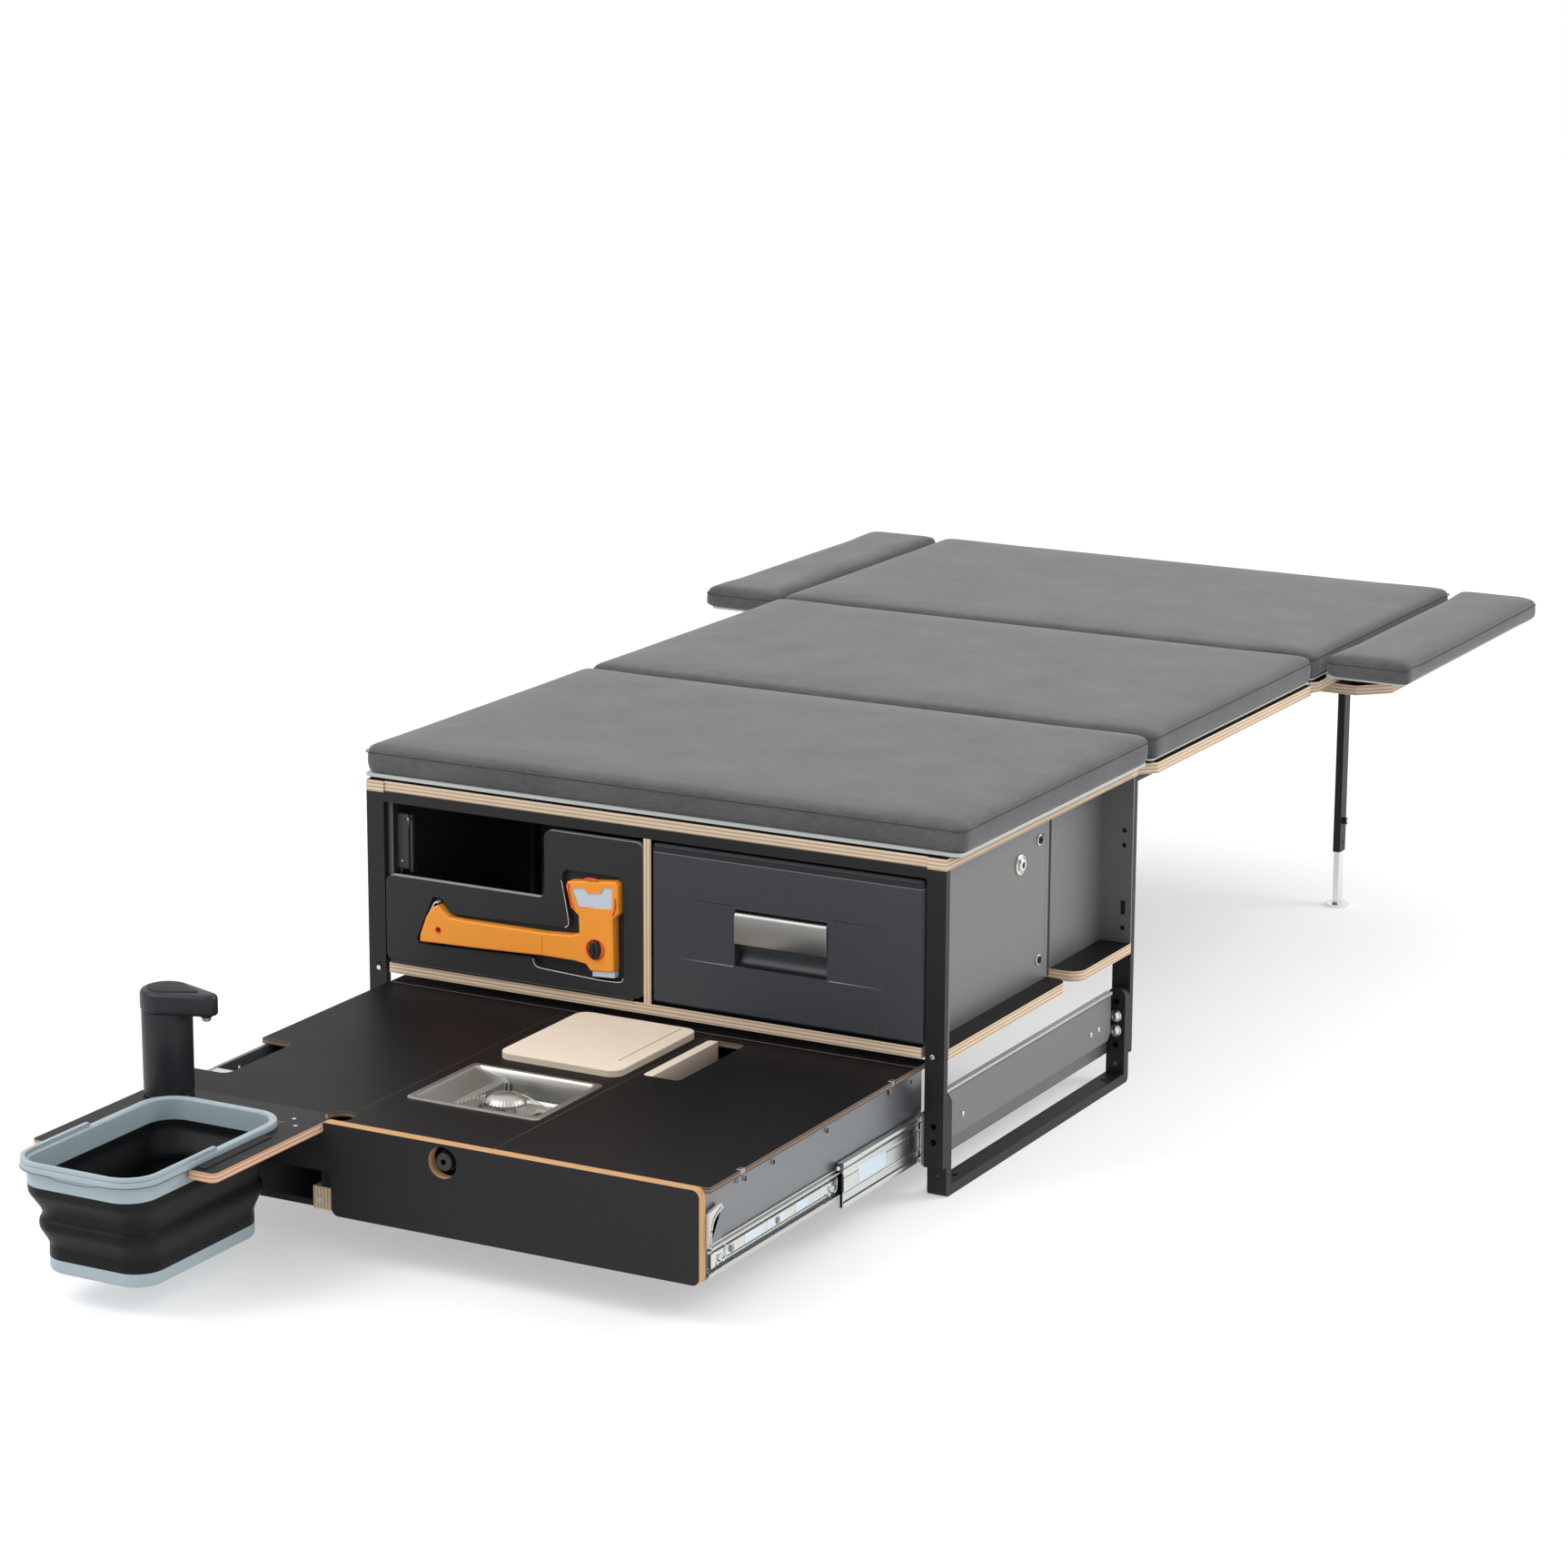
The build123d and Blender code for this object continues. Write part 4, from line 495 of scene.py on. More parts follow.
def plate(outline, low, high, ease, across):
    """Outline carried through a plate's thickness, its two rims drawn in by the ease.

    The outline's axes are (depth, z) across x, (x, z) across y and (x, depth) across z.
    """
    levels = np.array([low, low + ease, high - ease, high])
    loops = np.stack([drawn_in(outline, i) for i in (ease, 0.0, 0.0, ease)])
    level = np.broadcast_to(levels[:, None], loops.shape[:2])
    first, second = loops[..., 0], loops[..., 1]
    return np.stack({"x": (level, first, second), "y": (first, level, second),
                     "z": (first, second, level)}[across], -1)


def corners(x, y):
    """The four corners of a rectangle from its two spans."""
    return [(x[0], y[0]), (x[1], y[0]), (x[1], y[1]), (x[0], y[1])]


def block(x, y, z, corner=0.5, ease=0.3):
    """Plate from three spans, its upright edges rounded."""
    return plate(rounded_outline(corners(x, y), corner, 4), *z, ease, "z")


def side_plate(x, depths, heights, corner, ease):
    """Plate across x from its spans, rounded as it is seen from the side."""
    return plate(rounded_outline(corners(depths, heights), corner), *x, ease, "x")


def stripes(x, depths, lines):
    """Thin bars along both sides of the box, from the foot and the width of each."""
    return both([block(x, depths, (z, z + wide), 0.05, 0.04) for z, wide in lines])


def stacked(outline, levels):
    """An outline at several heights, drawn in by the inset of each level."""
    return np.stack([np.column_stack([drawn_in(outline, i), np.full(len(outline), z)]) for i, z in levels])


def turned_at(profile, at, way, steps=20):
    """Turned profile of radius and height that stands on a point and looks one way."""
    return facing(turned_profile(profile, steps), way) + np.asarray(at, float)


def both(grids):
    """The grids and their mirror images in x."""
    return [*grids, *(g * (-1.0, 1.0, 1.0) for g in grids)]


def screw(at, way, r, high, steps):
    """Flat screw head with a rounded rim and a shallow round socket."""
    profile = [(r, 0.0), (r, high * 0.6), (r * 0.85, high), (r * 0.5, high), (r * 0.45, high * 0.35),
               (0.01, high * 0.35)]
    return turned_at(profile, at, way, steps)


def hex_bolt(at, way, r, high, ring):
    """Two grids: a washer and a six-sided head with a chamfered top."""
    washer = turned_at([(ring, 0.0), (ring, 1.0), (ring * 0.92, 1.4), (0.01, 1.4)], at, way, 28)
    head = turned_at([(r, 0.0), (r, high * 0.8), (r * 0.86, high), (0.01, high)], at, way, 6)
    return [washer, head]


# Sizes and colours that a user would change


class BedSizes(bpy.types.PropertyGroup):
    """The cushions and what lies under them."""

    cloth: bpy.props.FloatVectorProperty(
        name="Cloth colour", description="Colour of the cushion cloth", subtype="COLOR",
        default=(0.088, 0.088, 0.092), min=0.0, max=1.0)
    swell: bpy.props.FloatProperty(
        name="Swell", description="How far the foam may push the cloth out, in metres", unit="LENGTH",
        default=0.004, min=0.0, max=0.02)
    strip: bpy.props.FloatVectorProperty(
        name="Strip colour", description="Colour of the foam strip under the cushions", subtype="COLOR",
        default=(0.42, 0.45, 0.43), min=0.0, max=1.0)


class StageSizes(bpy.types.PropertyGroup):
    """Floor, light and camera."""

    floor: bpy.props.FloatVectorProperty(
        name="Floor colour", description="Colour of the studio floor", subtype="COLOR",
        default=(0.94, 0.94, 0.94), min=0.0, max=1.0)
    sky: bpy.props.FloatProperty(
        name="Sky light", description="Strength of the light from all round", default=1.0, min=0.0, max=5.0)
    key: bpy.props.FloatProperty(
        name="Key light", description="Power of the large soft light", unit="POWER", default=130.0,
        min=0.0, max=5000.0)
    lens: bpy.props.FloatProperty(
        name="Lens", description="Focal length of the camera, in millimetres", default=100.94, min=10.0,
        max=500.0)


# What each CAD node is finished with

BLACK_FILM = (0.009, 0.009, 0.0098)
# The light and dark layers of two sorts of board
PALE_PLY = ((0.66, 0.53, 0.4), (0.34, 0.23, 0.14))
TAN_PLY = ((0.6, 0.36, 0.18), (0.34, 0.17, 0.07))
# Plain finishes: colour, roughness, metallic, depth of the grain, shine and size of the grain
PLAIN = {
    "powder_black": ((0.011, 0.011, 0.0115), 0.45, 0, 0.05, 0.25),
    "sheet_dark": ((0.17, 0.17, 0.168), 0.42, 0.5, 0.02),
    "sheet_grey": ((0.2, 0.212, 0.225), 0.34, 0.7, 0.01),
    "film_plain": (BLACK_FILM, 0.45, 0, 0, 0.22),
    "tap_black": ((0.012, 0.013, 0.016), 0.4, 0, 0.03, 0.3),
    "rubber_rough": ((0.008, 0.008, 0.008), 0.8, 0, 0.6, 0.5, 2.2),
    "satin_black": ((0.014, 0.014, 0.016), 0.4, 0, 0.02),
    "tap_grey": ((0.016, 0.016, 0.018), 0.5, 0, 0, 0.12),
    "bucket_grey": ((0.3, 0.37, 0.4), 0.45, 0, 0.02),
    "bucket_black": ((0.006, 0.006, 0.007), 0.44, 0, 0.02, 0.14),
    "scoop_black": ((0.01, 0.012, 0.015), 0.34, 0, 0, 0.3),
    "steel_dark": ((0.3, 0.29, 0.28), 0.3, 0.9),
    # Dark lines along the slides: painted shade.
    "painted_shade_line": ((0.03, 0.035, 0.03), 0.5),
    # Pale blue of the raised pads on the slides: a painted reflection.
    "zinc_blue_reflection": ((0.62, 0.7, 0.8), 0.32, 0.5),
    # Pale parts, and the painted highlights on the door hollow's edges.
    "pale_parts_and_highlights": ((0.56, 0.55, 0.53), 0.45, 0.2),
    "orange_deep": ((0.8, 0.07, 0), 0.4),
    # Dark grey of the line in the bucket lip's groove: painted shade.
    "groove_shade_grey": ((0.1, 0.13, 0.15), 0.6),
    "outlet_brown": ((0.3, 0.25, 0.22), 0.35, 0.8),
    "fridge_shell": ((0.05, 0.052, 0.056), 0.5),
    "bin_white": ((0.7, 0.71, 0.72), 0.4),
    "orange": ((0.82, 0.3, 0.035), 0.45, 0, 0.03, 0.25),
    "blade_grey": ((0.55, 0.63, 0.72), 0.4, 0.2, 0.02),
    # Matte black, for real black parts and for painted shade in slots, gaps, the bay, a bolt socket and the
    # hand slot.
    "mat_black": ((0.01, 0.01, 0.01), 0.9),
}
NODE_FINISH = {
    "powder_black": ("corner_posts", "leg_frame_right", "leg_frame_left", "top_rails", "hinge_fixed",
                     "hinge_moving", "bed_rails", "bed_leg_right", "bed_leg_left"),
    "sheet_dark": ("side_panels", "rear_panels", "slide_carriers"),
    "sheet_grey": ("drawer_sides",),
    "zinc_bright": ("leg_bolts", "slide_outers", "slide_middles", "slide_inners", "leg_brackets"),
    "board_pale": ("top_board", "shelf_boards", "bed_board", "head_board", "wing_right", "wing_left"),
    "film_plain": ("drawer_floor",),
    "board_upright": ("divider",),
    "board_front": ("drawer_front",),
    "board_door": ("flap_door",),
    "board_top": ("lid_left", "lid_middle", "lid_right"),
    "board_fork": ("fork_tray",),
    "stainless": ("stove_tray",),
    "burner_steel": ("stove_burner",),
    "satin_black": ("stove_knob", "tap_body", "tap_head", "stay_case", "stay_arm", "hatchet_knob"),
    "birch_bare": ("cutting_board",),
    "tap_grey": ("tap_button",),
    "bucket_grey": ("bucket_rim", "bucket_base", "bucket_bail"),
    "bucket_black": ("bucket_wall",),
    "fridge_grain": ("fridge_front",),
    "fridge_shell": ("fridge_housing",),
    "bin_white": ("fridge_bin",),
    "silver_plate": ("fridge_handle",),
    "orange": ("hatchet_handle",),
    "blade_grey": ("hatchet_head",),
    "foot_alu": ("bed_foot_right", "bed_foot_left"),
    "cloth": ("mattress_front", "mattress_middle", "mattress_head", "pad_right", "pad_left"),
}


class CAMPBOX_OT_finishes(bpy.types.Operator):
    """Makes every finish and gives each CAD piece its own"""

    bl_idname = "campbox.finishes"
    bl_label = "Finishes"

    def execute(self, context):
        bed = context.scene.campbox_bed
        for name, look in PLAIN.items():
            plain(name, *look)
        plain("cloth_seam", shaded(bed.cloth, 0.45), 0.9)
        plain("foam_strip", tuple(bed.strip), 0.7, 0.0, 0.04)
        velvet("cloth", shaded(bed.cloth, 1.15), shaded(bed.cloth, 0.4))
        film_board("board_pale", 2, BLACK_FILM, *PALE_PLY)
        film_board("board_upright", 0, BLACK_FILM, *PALE_PLY)
        film_board("board_front", 1, shaded(BLACK_FILM, 2.1), *TAN_PLY)
        film_board("board_door", 1, shaded(BLACK_FILM, 3.3), *TAN_PLY, door=True)
        film_board("board_top", 2, shaded(BLACK_FILM, 0.55), (0.22, 0.165, 0.125), (0.07, 0.05, 0.04), 0.46)
        film_board("board_fork", 2, BLACK_FILM, (0.7, 0.46, 0.32), (0.36, 0.18, 0.1))
        raw_board("birch_bare", (0.78, 0.68, 0.57), (0.68, 0.54, 0.4))
        zinc_finish("zinc_bright", (0.7, 0.735, 0.7), 0.24)
        brushed("stainless", (0.36, 0.355, 0.33), 0.4, 0)
        brushed("burner_steel", (0.5, 0.49, 0.46), 0.34, 2)
        brushed("silver_plate", (0.32, 0.325, 0.315), 0.42, 0, 0.008)
        brushed("foot_alu", (0.78, 0.79, 0.8), 0.3, 2)
        # Crease lines of the fridge front: the dark upper ones are painted shade, the pale lower ones painted
        # highlight.
        creases = [(z, start, way, shade) for z, shade, starts in (
            (384.5, (0.002, 0.002, 0.002), (303.0, 144.0)), (295.0, (0.3, 0.31, 0.33), (297.0, 143.0)))
                   for start, way in zip(starts, (1.0, -1.0))]
        grained("fridge_grain", (0.036, 0.039, 0.046), 0.5, creases, 447.5)
        for finish, nodes in NODE_FINISH.items():
            for node in nodes:
                for held in NODES[node].material_slots:
                    held.material = FINISHES[finish]
        return {"FINISHED"}


# Cushions

# Cloth: size of the remeshed grid and radius of the seams in metres, inner pressure
VOXEL = 0.009
SEAM_RADIUS = 0.0009
PRESSURE = 4.0
# Heights where the cloth of the two sorts of cushion starts
MATTRESS_FOOT = 503
PAD_FOOT = 506
# Each cushion's node and body, how far it lies to the right and how much wider it is
CUSHIONS = {
    "cushion_front": ("mattress_front", "cushion_front", 5, 3),
    "cushion_middle": ("mattress_middle", "cushion_mid", 5, 4),
    "cushion_head": ("mattress_head", "cushion_head", 3, 3),
    "cushion_right": ("pad_right", "side_pad_r", 4, 2),
    "cushion_left": ("pad_left", "side_pad_l", 5, 0),
}


def cushion_block(low, high, corner):
    """Closed block of a cushion: rounded plan rings, drawn in at the middle of the side.

    Each ring is the plan moved in by the profile's inset at its height. The caps are the flat
    faces that many() puts on the first and the last ring.
    """
    centre, half = (low + high) / 2, (high - low) / 2
    tall = 2 * half[2]
    profile = cut_corners([(12, 0), (2, 0), (0, 0.1), (0.6, 0.5), (0.2, 0.72), (3, 0.94), (12, 1), (40, 1)], 3)
    rows = [(half[0] - i, half[1] - i, max(corner - i, 1), low[2] + tall * t) for i, t in profile]
    return rounded_rows(centre, rows, 6)


def simulate(piece, cap):
    """Swells a copy of the piece as cloth under inner pressure, with no point past the cap."""
    clean(piece)
    remesh = piece.modifiers.new("even", "REMESH")
    remesh.mode = "VOXEL"
    remesh.voxel_size = VOXEL
    bpy.ops.object.modifier_apply(modifier=remesh.name)
    rest = points_of(piece)
    cloth = piece.modifiers.new("cloth", "CLOTH")
    cloth.settings.use_pressure = True
    cloth.settings.uniform_pressure_force = PRESSURE
    cloth.settings.effector_weights.gravity = 0
    scene = bpy.context.scene
    for number in range(1, 21):
        scene.frame_set(number)
    bpy.ops.object.modifier_apply(modifier=cloth.name)
    moved = points_of(piece) - rest
    far = np.maximum(np.linalg.norm(moved, axis=1, keepdims=True), 1e-9)
    put_points(piece, rest + moved * np.minimum(1, cap / far))
    scene.frame_set(1)


def points_of(piece):
    """The mesh's points as one array."""
    flat = np.empty(len(piece.data.vertices) * 3)
    piece.data.vertices.foreach_get("co", flat)
    return flat.reshape(-1, 3)


def put_points(piece, points):
    """Writes the points back into the mesh."""
    piece.data.vertices.foreach_set("co", np.asarray(points, float).ravel())
    piece.data.update()


def subdivide(piece):
    """One subdivision, the same in view and render, then applied."""
    smoother = piece.modifiers.new("smooth", "SUBSURF")
    smoother.levels = smoother.render_levels = 1
    bpy.context.view_layer.objects.active = piece
    bpy.ops.object.modifier_apply(modifier=smoother.name)


class CAMPBOX_OT_cushions(bpy.types.Operator):
    """Three bed cushions and two side pads, swelled as cloth, with their seams"""

    bl_idname = "campbox.cushions"
    bl_label = "Cushions"

    def execute(self, context):
        bed = context.scene.campbox_bed
        for name, (node, body, shift, grow) in CUSHIONS.items():
            low, high = span(node)
            side = "pad" in node
            low[0] += shift
            high[0] += shift + grow
            low[2] = PAD_FOOT if side else MATTRESS_FOOT
            top = high[2] - (2 if side else 4)
            ring = cushion_block(low + (1.5, 1.5, 0.5), np.array((high[0] - 1.5, high[1] - 1.5, top)), 16)
            piece = many(name, [ring], "cloth", body, 60)
            simulate(piece, bed.swell)
            subdivide(piece)
            piece.data.shade_smooth()
            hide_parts(node)
            self.seam(piece, name, body, low, high, top)
            self.under(body, name, low, high, side)
        return {"FINISHED"}

    def seam(self, piece, name, body, low, high, top):
        """Sewn line round the cushion, a little below its top: laid on the nearest points of its skin."""
        centre = ((low[0] + high[0]) / 2, (low[1] + high[1]) / 2)
        half = ((high[0] - low[0]) / 2 - 1, (high[1] - low[1]) / 2 - 1)
        ring = place(even(rounded_rows(centre, [(*half, 15, top - 9)], 6)[0], 360))
        middle = ring.mean(0)
        skin = points_of(piece) - middle
        apart = (skin ** 2).sum(1) - 2 * (ring - middle) @ skin.T
        moved = skin[np.argmin(apart, axis=1)] + middle - ring
        soft = np.mean([np.roll(moved, k, axis=0) for k in range(-4, 5)], axis=0)
        ring = ring + soft
        line = tube(np.concatenate([ring, ring[:1]]), SEAM_RADIUS, 6)
        mesh_piece(f"{name}_seam", line.reshape(-1, 3), cells(line, "open"), "cloth_seam", body,
                   35)

    def under(self, body, name, low, high, side):
        """Foam strip and a black layer below it under a cushion, each a plain block."""
        if side:
            inner, outer = sorted((low[0], high[0]), key=abs)
            sign = math.copysign(1, outer)
            xs = sorted((inner + sign * 1, outer - sign * 14))
            bands = ((xs, (low[1] + 14, high[1] - 14), (505, 510.6), "foam_strip"),
                     (sorted((inner + sign * 3, inner + sign * 79)), (1437, 1868), (478.7, 505), "mat_black"))
        else:
            level = 499 if body == "cushion_front" else 501.6
            bands = (((low[0] + 7, high[0] - 10), (low[1] + 4, high[1] - 8), (level, 503.6), "foam_strip"),
                     ((low[0] + 11, high[0] - 15), (low[1] + 9, high[1] - 12), (496, level), "mat_black"))
        for k, (x, y, z, finish) in enumerate(bands):
            half = ((x[1] - x[0]) / 2, (y[1] - y[0]) / 2)
            centre = ((x[0] + x[1]) / 2, (y[0] + y[1]) / 2)
            rows = [(*half, 8, z[0]), (*half, 8, z[1])]
            many(f"{name}_layer_{k + 1}", [rounded_rows(centre, rows, 4)], finish, body)


# Sink end

# The tap's middle, its spout's reach and outlet, and the flat at its back that clears the left lid
TAP_AT = (-401, -612)
REACH = 66
OUTLET_AT = (TAP_AT[0] + REACH, TAP_AT[1])
TAP_FLAT = -579.7
BUCKET_AT = (-292, -803)
RIM_HALF = (107.3, 173.3)
RIM_CORNER = 51
WALL_FOLDS = ((0, 0), (0.1, 0.02), (0.15, 0.1), (0.33, 0.58), (0.4, 0.7), (0.46, 0.68), (0.5, 0.54),
              (0.58, 0.52), (0.63, 0.6), (0.78, 0.94), (0.84, 1.02), (0.9, 1), (1, 1))
WALL_Z = (62, 169)
BASE_HALF = (87, 136)
BASE_CORNER = 40


def bucket_rows(profile):
    """Bucket rings from a profile of inset from the rim's outline and height."""
    return rounded_rows(BUCKET_AT, [(RIM_HALF[0] - i, RIM_HALF[1] - i, RIM_CORNER - i, z) for i, z in profile],
                        12)


class CAMPBOX_OT_bucket(bpy.types.Operator):
    """Folding bucket: rounded rim, stepped soft wall and base"""

    bl_idname = "campbox.bucket"
    bl_label = "Bucket"

    def execute(self, context):
        rim = cut_corners([(8.5, 169), (8.5, 190), (8, 191), (0.8, 191), (0, 192), (0, 198.4),
                           (1.6, 200), (9.2, 200), (11.3, 198.2), (11.5, 196), (11.5, 169)], 2)
        piece = many("bucket_lip", [bucket_rows(rim)], "bucket_grey", "bucket", ends="ring")
        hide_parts("bucket_rim")
        folds = cut_corners(WALL_FOLDS, 3)
        low, high = WALL_Z
        band = (RIM_HALF[0] - 8.5, RIM_HALF[1] - 8.5, RIM_CORNER - 8.5)
        base = (*BASE_HALF, BASE_CORNER)
        rows = []
        for skin, shares in ((0, folds), (3, folds[::-1])):
            for down, into in shares:
                size = [b + (e - b) * into - skin for b, e in zip(band, base)]
                rows.append((*size, high + (low - high) * down))
        wall = many("bucket_folds", [rounded_rows(BUCKET_AT, rows, 12)], "bucket_black", "bucket",
                    ends="ring")
        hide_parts("bucket_wall")
        centre = place((*BUCKET_AT, high))
        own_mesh(wall)
        self.fittings()
        return {"FINISHED"}

    def fittings(self):
        """Dark line of painted shade in the groove under the lip, tray screws, the tap's outlet and the insert
        of the partition.
        """
        # A dark grey line in the groove under the lip: painted shade.
        ring = rounded_rows(BUCKET_AT, [(RIM_HALF[0] + 0.1, RIM_HALF[1] + 0.1, RIM_CORNER, 0)], 12)[0]
        loop = even(ring, 240)
        x, y = loop[:, 0] - BUCKET_AT[0], loop[:, 1] - BUCKET_AT[1]
        front = (y < -150) & (x < 38) & (x > -28)
        loop[:, 2] = np.where(front, 187.6, 191.4)
        loop[:, 2] = np.stack([np.roll(loop[:, 2], k) for k in (-2, -1, 0, 1, 2)]).mean(0)
        closed = np.concatenate([loop, loop[:1]])
        many("lip_groove_shade", [tube(closed, 0.7, 6)], "groove_shade_grey", "bucket", 80)
        strip = block((-183.6, -168.5), (-852, -700), (190.8, 192.6), 3, 0.6)
        many("fork_strip", [strip], "rubber_rough", "fork")
        screws = [screw((fx, fd, 191), "+z", 3.2, 0.7, 16) for fx, fd in ((-188, -621), (-169.5, -645))]
        many("fork_screws", screws, "zinc_bright", "fork")
        outlet = turned_at([(6, 0), (6, 5), (4.6, 6), (4.6, 1), (0.01, 1)], (*OUTLET_AT, 310.6), "-z")
        many("tap_outlet", [outlet], "outlet_brown", "spout")
        insert = turned_at([(4.4, 0), (4.4, 0.8), (2.6, 0.8), (2.4, 0.2), (0.01, 0.2)], (-165, -599.4, 75),
                           "-y", 18)
        many("partition_insert", [insert], "zinc_bright", "drawer")


# Slides and the drawer's sides

WEB_Z = 88
INNER_FACE = 434.9
MIDDLE_FACE = 443.4
MIDDLE_REAR = 368
INNER_SCREWS = (-530, -404)
INNER_PADS = ((-494, -446), (-432, -384), (-352, -318))
MIDDLE_PADS = ((-186, -104),)
CATCHES = (-562, -252)


class CAMPBOX_OT_slides(bpy.types.Operator):
    """Ribs, pads, catches and bumpers of the slides, and the drawer's front brackets"""

    bl_idname = "campbox.slides"
    bl_label = "Slides"

    def execute(self, context):
        heads = [g for d in INNER_SCREWS for g in hex_bolt((INNER_FACE, d, WEB_Z), "+x", 4.4, 3, 5.6)]
        many("slide_screws", both(heads), "steel_dark", "drawer")
        # The raised pads are shapes of the slides; their pale blue is a painted reflection.
        for name, body, face, spans, high in (("slide_pads", "drawer", INNER_FACE, INNER_PADS, (81.5, 94.5)),
                                              ("slide_middle_pads", "slide_mid", MIDDLE_FACE, MIDDLE_PADS,
                                               (76, 100))):
            pads = [side_plate((face - 0.2, face + 0.5), span, high, 3, 0.25) for span in spans]
            many(name, both(pads), "zinc_blue_reflection", body)
        self.ribs()
        self.catches()
        self.brackets()
        self.sides()
        return {"FINISHED"}

    def ribs(self):
        """Beads along the slides: x = face + height (1 + cos) / 2 across each bead."""
        turn = np.linspace(-math.pi, math.pi, 13)
        beads = []
        for z, half, front, high in ((112.5, 3.2, -230.5, 0.9), (97.8, 1.6, -222, 0.7), (70.5, 1.6, -222, 0.7),
                                     (55.5, 3.2, -230.5, 0.9)):
            across = np.stack([MIDDLE_FACE + high * (1 + np.cos(turn)) / 2, z + half * turn / math.pi], 1)
            back = [(MIDDLE_FACE - 0.6, z + half), (MIDDLE_FACE - 0.6, z - half)]
            x, heights = np.concatenate([across, back]).T
            beads.append(np.stack([np.stack([x, np.full(len(x), d), heights], 1)
                                   for d in (front, MIDDLE_REAR)]))
        many("slide_beads", both(beads), "zinc_bright", "slide_mid", 50)
        # Dark lines beside the middle member's beads and along the inner member: painted shade.
        lines = stripes((MIDDLE_FACE - 0.1, MIDDLE_FACE + 0.12), (-230, MIDDLE_REAR),
                        ((107.4, 1.5), (94.4, 1), (73, 1), (59.4, 1.5)))
        many("slide_middle_shade_lines", lines, "painted_shade_line", "slide_mid")
        lines = stripes((INNER_FACE - 1.5, INNER_FACE + 0.1), (-589, 9),
                        ((100.6, 1.6), (96.2, 0.7), (79.4, 0.7), (73.4, 1.8)))
        many("slide_inner_shade_lines", lines, "painted_shade_line", "drawer")
        hems = [block((434.2, 434.85), (-588, 20), z, 0.2, 0.1) for z in ((106.2, 108.4), (63.4, 69.8))]
        many("drawer_hems", both(hems), "pale_parts_and_highlights", "drawer")

    def catches(self):
        """Release levers at the inner member's front and by the middle member, with bumpers."""
        levers = []
        for d in CATCHES:
            hoop = [(INNER_FACE + 1.4, d + y, z)
                    for y, z in ((7, 78), (15, 80), (16, 92), (15, 99), (7, 100.5))]
            pivot = [(5.2, 0), (5.2, 2.2), (4.4, 3.4), (2, 3.4), (1.8, 2.4), (0.01, 2.4)]
            pin = [(2.6, 0), (2.6, 3), (1.8, 3.8), (0.01, 3.8)]
            levers += [tube(cut_corners(hoop), 0.9, 8), turned_at(pivot, (INNER_FACE, d, 86), "+x", 20),
                       turned_at(pin, (INNER_FACE, d - 9, 80), "+x", 14)]
        many("slide_catches", both(levers), "zinc_bright", "drawer", 50)
        caps = [side_plate((436.4, 443.2), (-238, -229.5), (104, 115.5), 3, 0.8),
                side_plate((441, 443.6), (-233, -229.2), (75.5, 100.5), 1.2, 0.4),
                side_plate((443.3, 444), (-34, -22), (78, 104), 3, 0.2)]
        many("slide_bumpers", both(caps), "satin_black", "slide_mid")
        angle = np.linspace(0.01, math.pi - 0.01, 9)
        ball = np.stack([3.4 * np.sin(angle), -3.4 * np.cos(angle)], 1)
        many("slide_balls", both([turned_at(ball, (440, -241, 112), "+z", 14)]), "zinc_bright", "slide_mid",
             60)

    def brackets(self):
        """Pale angle behind the drawer's front: a tapering arm above a curved upright."""
        arm = rounded_outline([(-598, 155), (-568, 161), (-562, 160), (-562, 157), (-584, 149),
                               (-591, 140), (-594, 112), (-598, 108)], 1.5)
        lip = cut_corners([(441, -597, 108), (441, -594.4, 112), (441, -592.6, 134),
                           (441, -585, 147.5), (441, -563, 156)], 3)
        pin = turned_at([(2.2, 0), (2.2, 1.2), (1.6, 1.8), (0.01, 1.8)], (440.6, -565.5, 156), "+x", 14)
        many("front_brackets", both([plate(arm, 434.3, 440.6, 0.8, "x"), tube(lip, 1.3, 8), pin]), "pale_parts_and_highlights",
             "drawer", 50)

    def sides(self):
        """Rolled top edge, slots drawn as black patches of painted shade, and lid clips of the drawer's sides.
        """
        rolled = [tube(np.array([(435, d, 182) for d in (-578, -300, 25)]), 0.9, 10)]
        many("drawer_rims", both(rolled), "zinc_bright", "drawer", 60)
        # The slots through the sides are black patches: painted shade.
        slots = [block((434.1, 434.5), (d - 2, d + 2), (167.5, 174.5), 0.15, 0.1)
                 for d in (-490, -413, -260.5, -72)]
        many("drawer_slot_shade", both(slots), "mat_black", "drawer")
        clips = [g for d in (-508.7, -75.7) for g in (
            block((433.5, 440.8), (d - 6, d + 6), (184, 191.3), 0.8, 0.4),
            block((434.3, 436), (d - 2, d + 2), (170, 189), 0.6, 0.3))]
        many("lid_clips", clips, "steel_dark", "drawer")


# Frame, panels and their fasteners

LEG_BOLT_Z = (106, 83)
LEG_BOLT_X = 465
PANEL_FACE = 445.4
PANEL_HEIGHTS = (219.2, 461)
# Depth and height of the panels' bolts
BIG_BOLT = (311.7, 412.8)
SMALL_BOLTS = ((377, 435.4), (379, 252.8))


